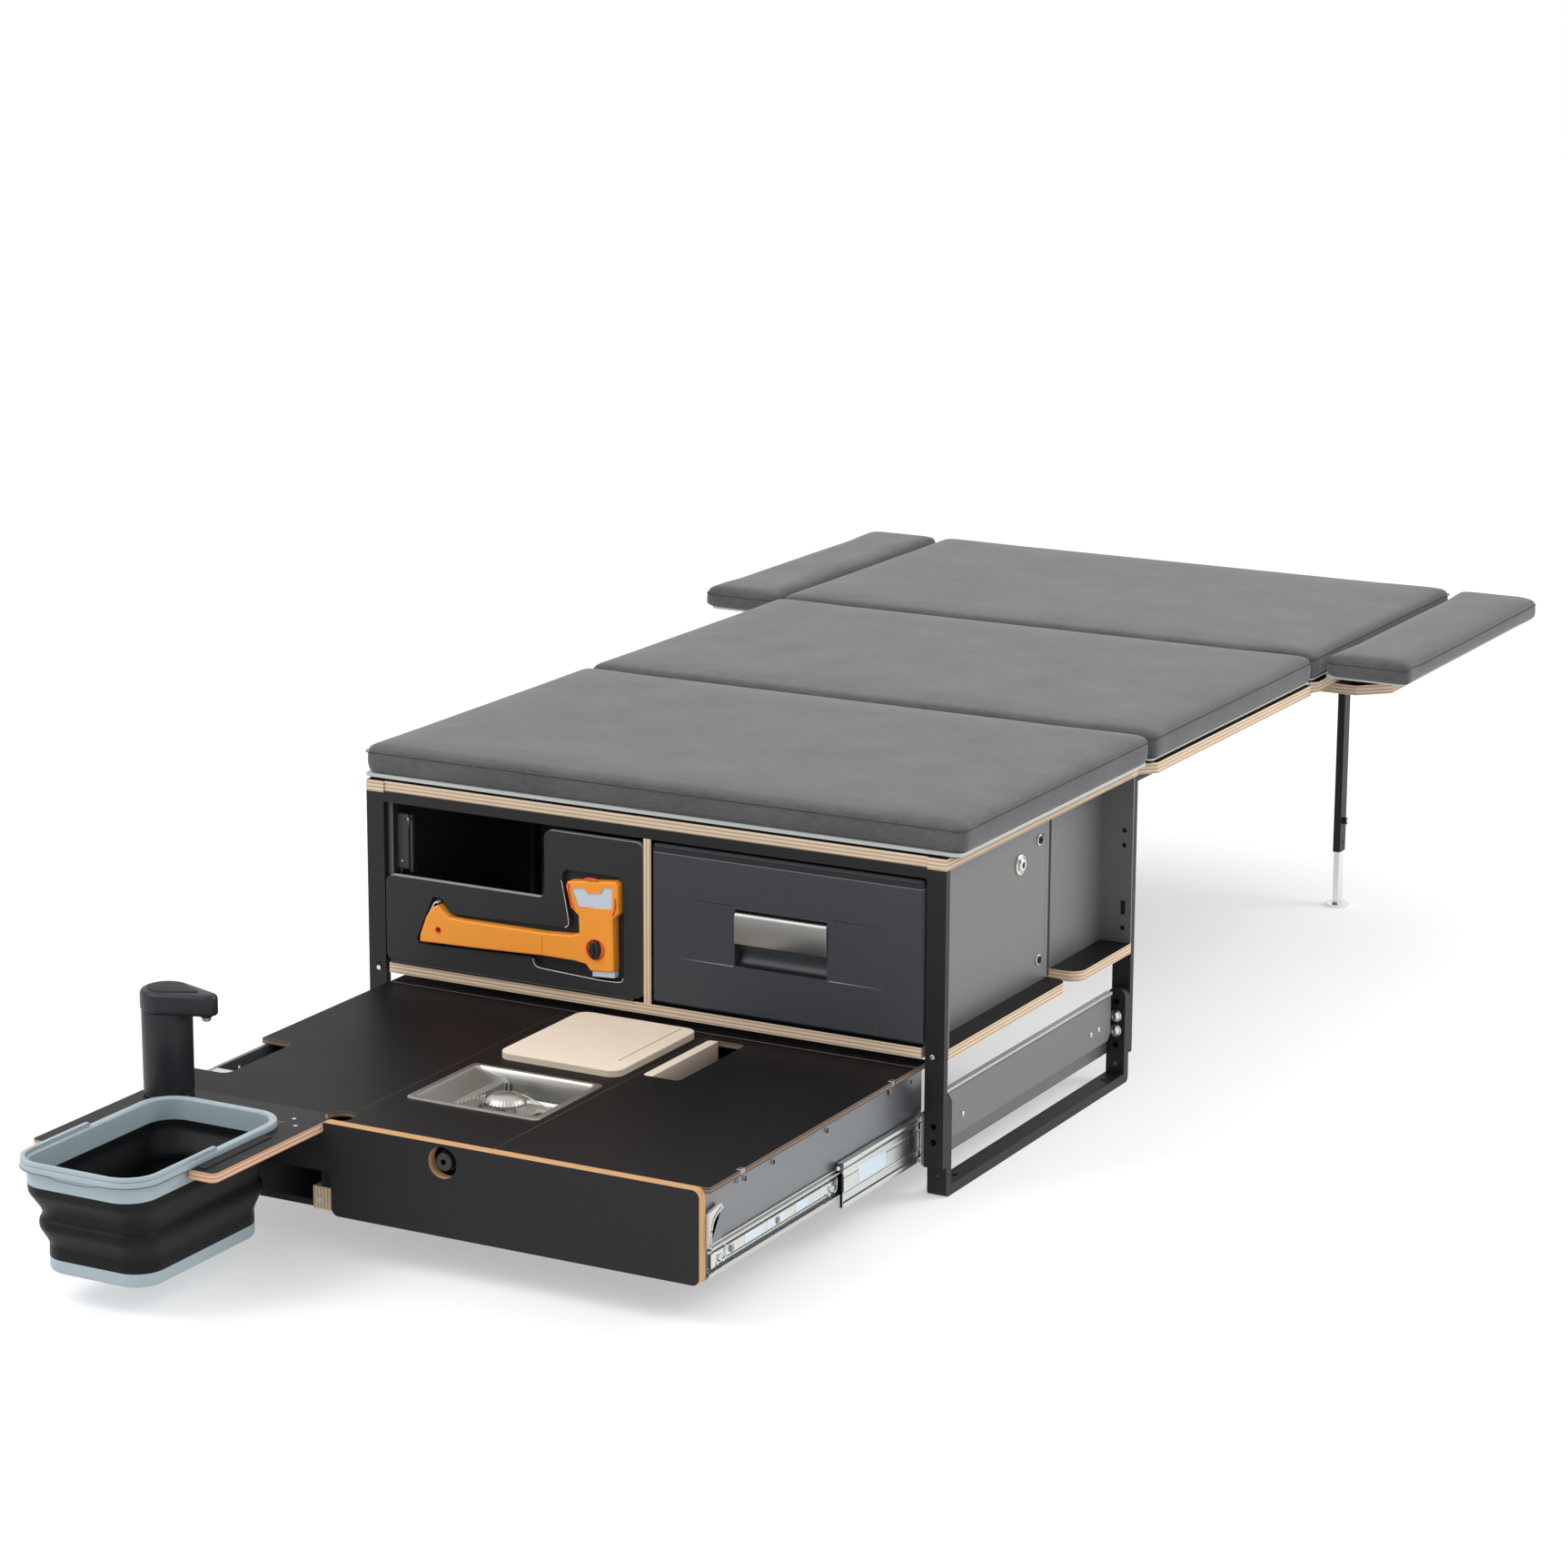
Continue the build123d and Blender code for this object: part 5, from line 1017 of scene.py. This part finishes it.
class CAMPBOX_OT_panels(bpy.types.Operator):
    """Bolts, ringed screws, bright rail strips and the returns of the side panels"""

    bl_idname = "campbox.panels"
    bl_label = "Panels"

    def execute(self, context):
        bolts = [turned_at([(15.5, 0), (15.5, 1.2), (14.6, 2), (12.6, 2), (12.2, 1.2), (0.01, 1.2)],
                           (PANEL_FACE, *BIG_BOLT), "+x", 36),
                 turned_at([(9.6, 0), (9.6, 4.4), (8.2, 5.8), (5, 5.8), (4.6, 3), (0.01, 3)],
                           (PANEL_FACE + 0.2, *BIG_BOLT), "+x", 28)]
        bolts += [turned_at([(8.4, 0), (8.4, 0.9), (7.6, 1.4), (6.4, 1.4), (6.2, 0.8), (0.01, 0.8)],
                            (PANEL_FACE, *at), "+x", 24) for at in SMALL_BOLTS]
        many("panel_bolts", both(bolts), "zinc_bright", "frame")
        cores = [turned_at([(5.8, 0), (5.8, 2.2), (4.6, 3), (2.6, 3), (2.4, 1.4), (0.01, 1.4)],
                           (PANEL_FACE + 0.1, *at), "+x", 20) for at in SMALL_BOLTS]
        # A black disc on the floor of the big bolt's socket: painted shade.
        cores.append(turned_at([(4.3, 0), (4.3, 0.3), (0.01, 0.3)], (PANEL_FACE + 3.3, *BIG_BOLT), "+x", 6))
        many("panel_bolt_sockets", both(cores), "mat_black", "frame")
        posts = [turned_at([(3.6, 0), (3.6, 0.5), (2.8, 0.9), (1.6, 0.9), (1.4, 0.3), (0.01, 0.3)],
                           (462.2, -1.5, 208.5), "-y", 20)]
        plates = [screw((LEG_BOLT_X, d, z), "+x", 3.8, 1.6, 18)
                  for d, z in ((93.3, 99.4), (530.4, 99.6), (558, 100.2))]
        many("frame_screws", both([*posts, *plates]), "zinc_bright", "frame")
        strips = [block((452, 462), (40, 614), (141.1, 146), 0.8, 0.3)]
        many("rail_strips", both(strips), "pale_parts_and_highlights", "frame")
        washer = [(9.6, 0), (9.6, 1.6), (8.8, 2), (0.01, 2)]
        dome = [(8.5, 0), (8.4, 1.4), (7.2, 4), (4.8, 5.6), (3, 6), (2.6, 4.6), (0.01, 4.6)]
        domes = [turned_at(profile, (LEG_BOLT_X, d, z), way, 28) for z in LEG_BOLT_Z
                 for profile, d, way in ((washer, 27.5, "+y"), (dome, 29.5, "+y"), (washer, 622.5, "-y"),
                                         (dome, 620.5, "-y"))]
        made = many("leg_bolt_domes", both(domes), "zinc_bright", "frame", 50)
        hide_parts("leg_bolts")
        returns = [block((441.8, 445), (399, 411), PANEL_HEIGHTS, 0.5, 0.2),
                   block((428.6, 430), (411, 436.5), PANEL_HEIGHTS, 0.3, 0.2)]
        many("panel_returns", both(returns), "sheet_dark", "frame")
        # A black block in the gap behind the front panel's end: painted shade.
        gaps = [block((430.2, 444.8), (411.2, 419), PANEL_HEIGHTS, 0.5, 0.2)]
        many("panel_gap_shade", both(gaps), "mat_black", "frame")
        # Thin black sheets over the inside of the left side panel and at the back of the bay: painted shade.
        lining = [block((-441.9, -441.4), (12.5, 398), PANEL_HEIGHTS, 0.1, 0.1),
                  block((-447, -8), (600.5, 602), PANEL_HEIGHTS, 0.3, 0.2)]
        many("bay_shade_sheets", lining, "mat_black", "frame")
        return {"FINISHED"}


# Drawer fridge

HANDLE_SPAN = (145.3, 293.7)
SCOOP_SPAN = (144.2, 295.8)


class CAMPBOX_OT_fridge(bpy.types.Operator):
    """Silver pull with a round top and the hollow scoop below it"""

    bl_idname = "campbox.fridge"
    bl_label = "Fridge"

    def execute(self, context):
        turn = np.linspace(-0.5 * math.pi, 0.5 * math.pi, 9)
        top = np.stack([3.5 + 6.5 * np.sin(turn), 369.5 + 6.5 * np.cos(turn)], 1)
        loop = np.concatenate([top, [(10, 366), (1, 364), (0.6, 331), (-2.4, 330), (-3, 331)]])
        low, high = HANDLE_SPAN
        ends = ((low, 0.6), (low + 0.7, 0), (high - 0.7, 0), (high, 0.6))
        rows = np.stack([np.stack([np.full(len(loop), x), *drawn_in(loop, e).T], 1) for x, e in ends])
        pull = many("fridge_pull", [rows], "silver_plate", "fridge_grip", 40)
        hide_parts("fridge_handle")
        turn = np.linspace(0, 0.5 * math.pi, 12)
        curve = np.stack([0.4 + 17 * np.sin(turn), 331 - 34 * np.cos(turn)], 1)
        loop = np.concatenate([curve, [(19.4, 331), (19.4, 297), (0.4, 296.8)]])
        rows = np.stack([np.stack([np.full(len(loop), x), *loop.T], 1) for x in SCOOP_SPAN])
        many("fridge_scoop", [rows], "scoop_black", "fridge", 40)
        return {"FINISHED"}


# Flap door, hatchet and stay


class CAMPBOX_OT_hatchet(bpy.types.Operator):
    """Rims of the sheath, well of the lock, cap of the butt, painted highlights along edges of the hollow and
    the stay's links
    """

    bl_idname = "campbox.hatchet"
    bl_label = "Hatchet and stay"

    def execute(self, context):
        clips = [np.array([(-126.5, -8.4, 384), (-125.5, -8.8, 372), (-122, -8.8, 358), (-117, -8.4, 347)]),
                 np.array([(-47.6, -8.4, 372), (-47.4, -8.8, 360), (-49, -8.6, 352), (-52.4, -8.4, 346)]),
                 np.array([(-98, -8, 394.6), (-88, -8.8, 396.4), (-78, -8, 395.4)])]
        many("sheath_clips", [tube(cut_corners(c, 2), 1.5, 8) for c in clips], "orange_deep", "hatchet",
             60)
        well = turned_at([(16.4, -0.4), (16.2, 0.5), (15, 0.7), (14, 0.2), (13.4, -1.8), (14, -2.2),
                          (16, -2.2)], (-81.5, -8, 290.5), "-y", 40)
        made = many("lock_well", [well], "orange_deep", "hatchet", ends="ring")
        made.data.shade_smooth()
        eye = turned_at([(5.6, -0.5), (5.2, 0.6), (4.2, 0.6), (3.6, -0.2), (3.4, -2.5), (5.6, -2.5)],
                        (-351.9, -8, 283), "-y", 24)
        many("hang_hole", [eye], "orange_deep", "hatchet", ends="ring")
        butt = plate(rounded_outline([(-374.5, 298), (-371, 299.5), (-358, 321.5), (-353, 322.5),
                                      (-355.5, 326), (-361, 323.5)], 1.2), -5, 5, 1, "y")
        many("butt_cap", [butt], "pale_parts_and_highlights", "hatchet")
        seam = tube(np.array([(-171.5, -7.9, z) for z in (300, 290, 280, 270)]), 0.45, 6)
        window = tube(np.array([(x, -7, 351 + (x + 118) * 0.012) for x in (-114, -90, -55)]), 0.7, 6)
        many("hatchet_seams", [seam, window], "orange_deep", "hatchet")
        # Pale lines on two chamfered edges of the door's hollow: painted highlights.
        lines = [[(-143.7, 384.4), (-141.5, 380), (-130.7, 324), (-131.5, 318), (-137.5, 314.1)],
                 [(-192.3, 259.6), (-191.5, 253), (-187, 248), (-176.9, 246.6), (-93.3, 243.3), (-79.5, 242.6),
                  (-46, 243.6), (-40.5, 246.5), (-39.7, 251)]]
        edges = [tube(cut_corners([(x, 0.1, z) for x, z in line], 2), 0.75, 8) for line in lines]
        many("hollow_edge_highlights", edges, "pale_parts_and_highlights", "flap", 60)
        self.stay()
        return {"FINISHED"}

    def stay(self):
        """Bright pins and a link of the flap's stay."""
        link = [tube(np.array([(-419, 21.6, 438), (-424, 21.6, 410), (-431, 21.6, 372), (-436, 21.6, 348)]),
                     1.5, 8)]
        pins = [turned_at([(3, 0), (3, 1.4), (2, 2.4), (0.01, 2.4)], (x, 20, z), "-y", 16)
                for x, z in ((-419.6, 438), (-431, 372))]
        many("stay_links", [*link, *pins], "steel_dark", "stay", 60)


# Stove

# The pan's levels: two spans, height, and the corner radii on the right and on the left
TRAY_LEVELS = (
    (-110, 102, -470, -290, 191.1, 9, 9), (-109.6, 101.6, -469.6, -290.4, 192.4, 9, 9),
    (-108.6, 100.6, -468.6, -291.4, 192.8, 8, 8), (-101, 93.4, -461.6, -298.4, 192.8, 8, 7),
    (-99.4, 92, -460, -300, 191, 8, 7), (-97, 91.4, -459, -301, 189.4, 8, 7),
    (-58, 90, -457.6, -302.4, 181.4, 8, 7), (-52, 89.4, -457, -303, 176, 8, 7),
    (-47, 86, -455, -305, 157, 8, 7), (-43, 82, -451, -309, 153.2, 7, 6),
)
# How far its underside lies outside and below
SHEET = (1.2, 1.3)
CORNER_POINTS = 9
DOME_AT = (-8, -372)


def corner_rows(levels):
    """Rounded rectangles stacked in height, whose right and left corners have radii of their own."""
    turn = np.linspace(0, math.pi / 2, CORNER_POINTS)
    angle = np.concatenate([turn + k * math.pi / 2 for k in range(4)])
    rows = []
    for x0, x1, y0, y1, z, right, left in levels:
        r, x, y, sign_x, sign_y = np.repeat([(right, left, left, right), (x1, x0, x0, x1), (y1, y1, y0, y0),
                                             (1, -1, -1, 1), (1, 1, -1, -1)], CORNER_POINTS, axis=1)
        rows.append(np.stack([x - sign_x * r + r * np.cos(angle), y - sign_y * r + r * np.sin(angle),
                              np.full(angle.shape, z)], 1))
    return np.stack(rows)


def ripple(profile, count, depth):
    """Turned profile with flutes: r = r0 (1 + depth cos(count a))."""
    grid = turned_profile(profile, 144)
    angle = np.linspace(0, 2 * math.pi, grid.shape[1], endpoint=False)
    grid[..., :2] *= (1 + depth * np.cos(count * angle))[None, :, None]
    return grid


class CAMPBOX_OT_stove(bpy.types.Operator):
    """Pressed tray, domed burner with its spark pin, and the pot supports"""

    bl_idname = "campbox.stove"
    bl_label = "Stove"

    def execute(self, context):
        wide, deep = SHEET
        outer = [(x0 - wide, x1 + wide, y0 - wide, y1 + wide, z - deep, *radii)
                 for x0, x1, y0, y1, z, *radii in reversed(TRAY_LEVELS[4:])]
        grid = corner_rows(TRAY_LEVELS)
        back = corner_rows(outer)
        tray = many("stove_pan", [np.concatenate([grid[::-1], back[::-1]])], "stainless", "drawer",
                    30)
        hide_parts("stove_tray")
        x, y = DOME_AT
        floor = TRAY_LEVELS[-1][4]
        stem = [(24, 0), (24, 2), (15, 4), (13, 14), (22, 17), (27, 18)]
        dome = [(27, 0), (28.6, 0.8), (28.8, 3.6), (27.4, 6), (24, 9.6), (19, 12.6), (13, 14.4),
                (7, 15.2), (0.01, 15.4)]
        at = np.array((x, y, floor))
        pieces = [turned_profile(stem, 48) + at, ripple(dome, 36, 0.012) + at + (0, 0, 18)]
        valve = [turned_at([(9, 0), (9, 55), (0.01, 55)], (44, -452, 165), "-y", 24),
                 turned_at([(4, 0), (4, 60), (0.01, 60)], (44, -552, 165), "-y", 16)]
        burner = many("stove_dome", [*pieces, *valve], "burner_steel", "drawer", 28)
        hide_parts("stove_burner")
        pin = turned_at([(1, 0), (1, 22), (0.6, 30), (0.01, 30.4)], (-23, -341, 171), "+z", 12)
        posts = [turned_at([(2.2, 0), (2.2, 34), (1.2, 36), (0.01, 36)], (px, -341, floor), "+z", 12)
                 for px in (-26, -19)]
        many("spark_posts", posts, "satin_black", "drawer")
        many("spark_pin", [pin], "zinc_bright", "drawer")
        self.supports(floor)
        return {"FINISHED"}

    def supports(self, floor):
        """Standing comb with arches at the left, folded combs at the right and a wire at the rear."""
        steps = np.linspace(0, 1, 45)
        top = np.stack([steps * 56, 24 + 1.2 * np.sign(np.sin(steps * 2 * math.pi * 8) + 0.01)], 1)
        arch = np.linspace(math.pi, 0, 9)[::-1]
        low = np.concatenate([[(56, 0)], *[np.stack([c + 7 * np.cos(arch), 13 * np.sin(arch)], 1)
                                           for c in (46, 28, 10)], [(0, 0)]])
        comb = plate(np.concatenate([top, low]), -0.9, 0.9, 0.15, "y")
        flat = np.stack([comb[..., 0], comb[..., 2], comb[..., 1] + 1.2], -1)
        grids = [self.turned_comb(comb, (-42, -450, floor + 10), 74),
                 self.turned_comb(flat, (24, -408, floor), 40),
                 self.turned_comb(flat, (26, -360, floor + 2), 12)]
        many("pot_supports", grids, "burner_steel", "drawer", 30)
        wire = cut_corners([(-22, -306, 163), (10, -318, 160), (34, -330, 158),
                            (48, -336, 158), (56, -318, 161), (66, -304, 166)], 3)
        many("burner_wire", [tube(wire, 1, 8)], "zinc_bright", "drawer", 60)

    def turned_comb(self, comb, at, degrees):
        """Comb turned about the height axis and set on a point."""
        a = math.radians(degrees)
        x = comb[..., 0] * math.cos(a) - comb[..., 1] * math.sin(a)
        y = comb[..., 0] * math.sin(a) + comb[..., 1] * math.cos(a)
        return np.stack([x, y, comb[..., 2]], -1) + np.asarray(at, float)


# Bed legs


class CAMPBOX_OT_legs(bpy.types.Operator):
    """Silver buttons of the bed legs"""

    bl_idname = "campbox.legs"
    bl_label = "Bed legs"

    def execute(self, context):
        for side, sign in (("right", 1), ("left", -1)):
            at = (sign * 396.4, 1754, 154)
            button = turned_at([(4.6, 0), (4.6, 1), (3.2, 2.2), (0.01, 2.4)], at, "+x" if sign > 0 else "-x",
                               20)
            many(f"leg_button_{side}", [button], "zinc_bright", f"leg_{side[0]}")
        return {"FINISHED"}


# Drawer pieces that the worktop shows

# The right lid's two spans, and those of its hand slot
LID = ((114.5, 440.5), (-597.7, -6))
SLOT = ((120.6, 180), (-222, -30.5))
FINGER_WIDE = 80


class CAMPBOX_OT_worktop(bpy.types.Operator):
    """Partitions with the light strip, the right lid with its hand slot, and the front's corner block"""

    bl_idname = "campbox.worktop"
    bl_label = "Worktop"

    def execute(self, context):
        left = many("partition_left", [block((-162, -138), (-597.6, 24), (72, 176))], "film_plain",
                    "drawer")
        right = block((108, 120), (-598, 24), (72, 183))
        rail = block((-440.5, 440.5), (-5, 35), (183, 191))
        inside = (SLOT[1][0] + 0.6, SLOT[1][1] - 0.6)
        strip = block((120.2, 136), inside, (154, 190.4), 0.5, 0.4)
        many("partition_right", [right], "board_upright", "drawer")
        many("rear_rail", [rail], "board_top", "drawer")
        many("slot_strip", [strip], "birch_bare", "drawer")
        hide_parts("drawer_partitions")
        # A black block at the foot of the hand slot: painted shade.
        well = block((136.2, 179.5), inside, (150, 154))
        many("slot_shade_floor", [well], "mat_black", "drawer")
        corner = block((-175, -138.2), (-599.4, -560), (61, 93), 1, 0.5)
        ledge = block((-436, -398), (-490, -462), (180, 182.6))
        many("side_ledge", [ledge], "zinc_bright", "drawer")
        many("front_block", [corner], "board_upright", "drawer")
        self.lid()
        self.wings()
        return {"FINISHED"}

    def wings(self):
        """Boards under the side pads: a slab with cut corners and three fingers under the head board."""
        low, high = span("wing_right")
        outer, cut = high[0] - 13, 45
        slab = plate(rounded_outline([(500, low[1]), (outer - cut, low[1]), (outer, low[1] + cut),
                                      (outer, high[1] - cut), (outer - cut, high[1]), (500, high[1])], 1, 3),
                     low[2], high[2], 0.4, "z")
        step = (high[1] - low[1] - FINGER_WIDE) / 2
        fingers = [block((low[0], 500.5), (low[1] + k * step, low[1] + k * step + FINGER_WIDE),
                         (low[2], high[2])) for k in range(3)]
        for side, sign in (("right", 1), ("left", -1)):
            grids = [g * (sign, 1, 1) for g in (slab, *fingers)]
            made = many(f"pad_board_{side}", grids, "board_pale", f"wing_{side[0]}")
            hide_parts(f"wing_{side}")

    def lid(self):
        """Lid as a ring: rays from the slot's middle meet the slot's outline and the lid's."""
        middle = np.array([(a + b) / 2 for a, b in SLOT])
        outer = even(rounded_outline(corners(*LID), [0.4, 6, 0.6, 0.4], 4), 900)
        inner = even(rounded_outline(corners(*SLOT), 9, 9), 900)
        turn = self.angles(inner, middle)
        order = np.argsort(turn)
        reach = np.linalg.norm(inner - middle, axis=1)[order]
        want = self.angles(outer, middle)
        far = np.interp(want, turn[order], reach, period=2 * math.pi)
        hole = middle + far[:, None] * np.stack([np.cos(want), np.sin(want)], 1)
        loops = ((outer, 183), (outer, 190.6), (drawn_in(outer, 0.4), 191), (hole, 191), (hole, 183))
        grid = np.stack([np.column_stack([loop, np.full(len(loop), z)]) for loop, z in loops])
        made = many("lid_right_slotted", [grid], "board_top", "lid_r", ends="ring")
        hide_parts("lid_right")

    def angles(self, points, middle):
        """Angle of each point round the middle."""
        return np.arctan2(points[:, 1] - middle[1], points[:, 0] - middle[0])


# Tap

def drop_outline(at, big, reach, small):
    """Outline of two circles: at each angle the one that reaches further gives the point."""
    angle = np.linspace(-math.pi, math.pi, 72, endpoint=False)
    way = np.stack([np.cos(angle), np.sin(angle)], 1)
    tip = (big < small + reach * way[:, 0])[:, None]
    return np.asarray(at) + np.where(tip, small * way + (reach, 0), big * way)


class CAMPBOX_OT_tap(bpy.types.Operator):
    """Round pump body, drop-shaped head and leaf-shaped button"""

    bl_idname = "campbox.tap"
    bl_label = "Tap"

    def execute(self, context):
        at = (*TAP_AT, 191)
        body = turned_at([(34.4, 0), (35, 1), (34.8, 4), (34.2, 4.6), (34.2, 5.4), (34.8, 6), (35, 60),
                          (35.2, 121), (34.6, 122.4), (0.01, 122.4)], at, "+z", 72)
        body[..., 1] = np.minimum(body[..., 1], TAP_FLAT)
        made = many("tap_pump", [body], "tap_black", "fork", 40)
        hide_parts("tap_body")
        outline = drop_outline(TAP_AT, 36.4, REACH, 16)
        levels = [(3, 314), (1.2, 314.4), (0.2, 316), (0, 319), (0, 336), (0.8, 339), (2.6, 341.4),
                  (5, 342.6), (9, 343.2)]
        grid = stacked(outline, levels)
        outlet = turned_at([(8.6, 0), (8.2, 3.4), (7.4, 4), (0.01, 4)], (*OUTLET_AT, 314.2), "-z", 32)
        made = many("tap_spout", [grid, outlet], "tap_black", "spout", 50)
        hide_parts("tap_head")
        leaf = drop_outline(TAP_AT, 27, 50, 3)
        levels = [(0.6, 341.6), (0, 342.4), (0, 343.6), (0.8, 344.3), (2.2, 344.5)]
        made = many("tap_leaf", [stacked(leaf, levels)], "tap_grey", "button", 50)
        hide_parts("tap_button")
        return {"FINISHED"}


# Stage

FLOOR_REACH = 30.0
# Each lamp's place and side in metres, and its share of the key light's power
LAMPS = {"key_light": ((-2.6, -3.2, 4.2), 3.0, 1.0), "rim_light": ((3.6, 2.4, 3.4), 2.4, 0.8)}
CAMERA_AT = (3.07367, -5.76714, 2.03833)
# Its yaw, how far it looks down, and its roll, in radians
CAMERA_TURN = (0.4953, 0.2397, 0.0048)


class CAMPBOX_OT_stage(bpy.types.Operator):
    """Floor, soft studio light and the camera"""

    bl_idname = "campbox.stage"
    bl_label = "Stage"

    def execute(self, context):
        look = context.scene.campbox_stage
        plain("floor", shaded(look.floor, 0.6), 0.9, Emission_Color=tuple(look.floor), Emission_Strength=0.45)
        mesh = bpy.data.meshes.new("studio_floor")
        mesh.from_pydata([(x * FLOOR_REACH, y * FLOOR_REACH, 0)
                          for x, y in ((-1, -1), (1, -1), (1, 1), (-1, 1))], [], [(0, 1, 2, 3)])
        floor = bpy.data.objects.new("studio_floor", mesh)
        mesh.materials.append(FINISHES["floor"])
        context.collection.objects.link(floor)
        world = bpy.data.worlds.new("studio")
        world.use_nodes = True
        back = world.node_tree.nodes["Background"]
        back.inputs["Color"].default_value = (1.0, 1.0, 1.0, 1.0)
        back.inputs["Strength"].default_value = look.sky
        context.scene.world = world
        context.scene.view_settings.view_transform = "Standard"
        for name, (at, size, share) in LAMPS.items():
            lamp = bpy.data.lights.new(name, "AREA")
            lamp.shape = "SQUARE"
            lamp.size = size
            lamp.energy = look.key * share
            made = bpy.data.objects.new(name, lamp)
            made.location = at
            made.rotation_euler = (-Vector(at)).to_track_quat("-Z", "Y").to_euler()
            context.collection.objects.link(made)
        self.camera(context, look)
        return {"FINISHED"}

    def camera(self, context, look):
        """Camera from its yaw, pitch and roll, at the photograph's viewing angle."""
        yaw, pitch, roll = CAMERA_TURN
        forward = Vector((-math.sin(yaw) * math.cos(pitch), math.cos(yaw) * math.cos(pitch), -math.sin(pitch)))
        right = Vector((math.cos(yaw), math.sin(yaw), 0.0))
        up = right.cross(forward)
        across = right * math.cos(roll) + up * math.sin(roll)
        rise = up * math.cos(roll) - right * math.sin(roll)
        lens = bpy.data.cameras.new("view")
        lens.lens = look.lens
        lens.sensor_width = 36.0
        lens.clip_end = 100.0
        made = bpy.data.objects.new("view", lens)
        turn = Matrix((across, rise, -forward)).transposed().to_4x4()
        made.matrix_world = Matrix.Translation(CAMERA_AT) @ turn
        context.collection.objects.link(made)
        context.scene.camera = made


class CAMPBOX_PT_panel(bpy.types.Panel):
    """Lists the sizes, the colours and the pieces"""

    bl_idname = "CAMPBOX_PT_panel"
    bl_label = "Camping box"
    bl_space_type = "VIEW_3D"
    bl_region_type = "UI"
    bl_category = "Camping box"

    def draw(self, context):
        for group in (context.scene.campbox_bed, context.scene.campbox_stage):
            for key in group.bl_rna.properties.keys():
                if key not in ("rna_type", "name"):
                    self.layout.prop(group, key)
        for step in STEPS:
            self.layout.operator(step.bl_idname)


STEPS = (CAMPBOX_OT_finishes, CAMPBOX_OT_cushions, CAMPBOX_OT_bucket, CAMPBOX_OT_slides, CAMPBOX_OT_panels,
         CAMPBOX_OT_fridge, CAMPBOX_OT_hatchet, CAMPBOX_OT_stove, CAMPBOX_OT_worktop, CAMPBOX_OT_tap,
         CAMPBOX_OT_legs, CAMPBOX_OT_stage)
CLASSES = (BedSizes, StageSizes, *STEPS, CAMPBOX_PT_panel)


def register():
    """Adds the classes and the two groups of sizes."""
    for item in CLASSES:
        bpy.utils.register_class(item)
    bpy.types.Scene.campbox_bed = bpy.props.PointerProperty(type=BedSizes)
    bpy.types.Scene.campbox_stage = bpy.props.PointerProperty(type=StageSizes)


def unregister():
    """Takes them away again."""
    del bpy.types.Scene.campbox_stage
    del bpy.types.Scene.campbox_bed
    for item in reversed(CLASSES):
        bpy.utils.unregister_class(item)


def main():
    """Builds every piece in order."""
    register()
    for step in STEPS:
        group, name = step.bl_idname.split(".")
        done = getattr(getattr(bpy.ops, group), name)()
        if done != {"FINISHED"}:
            raise RuntimeError(f"{step.bl_idname} did not finish")


if __name__ == "__main__":
    main()
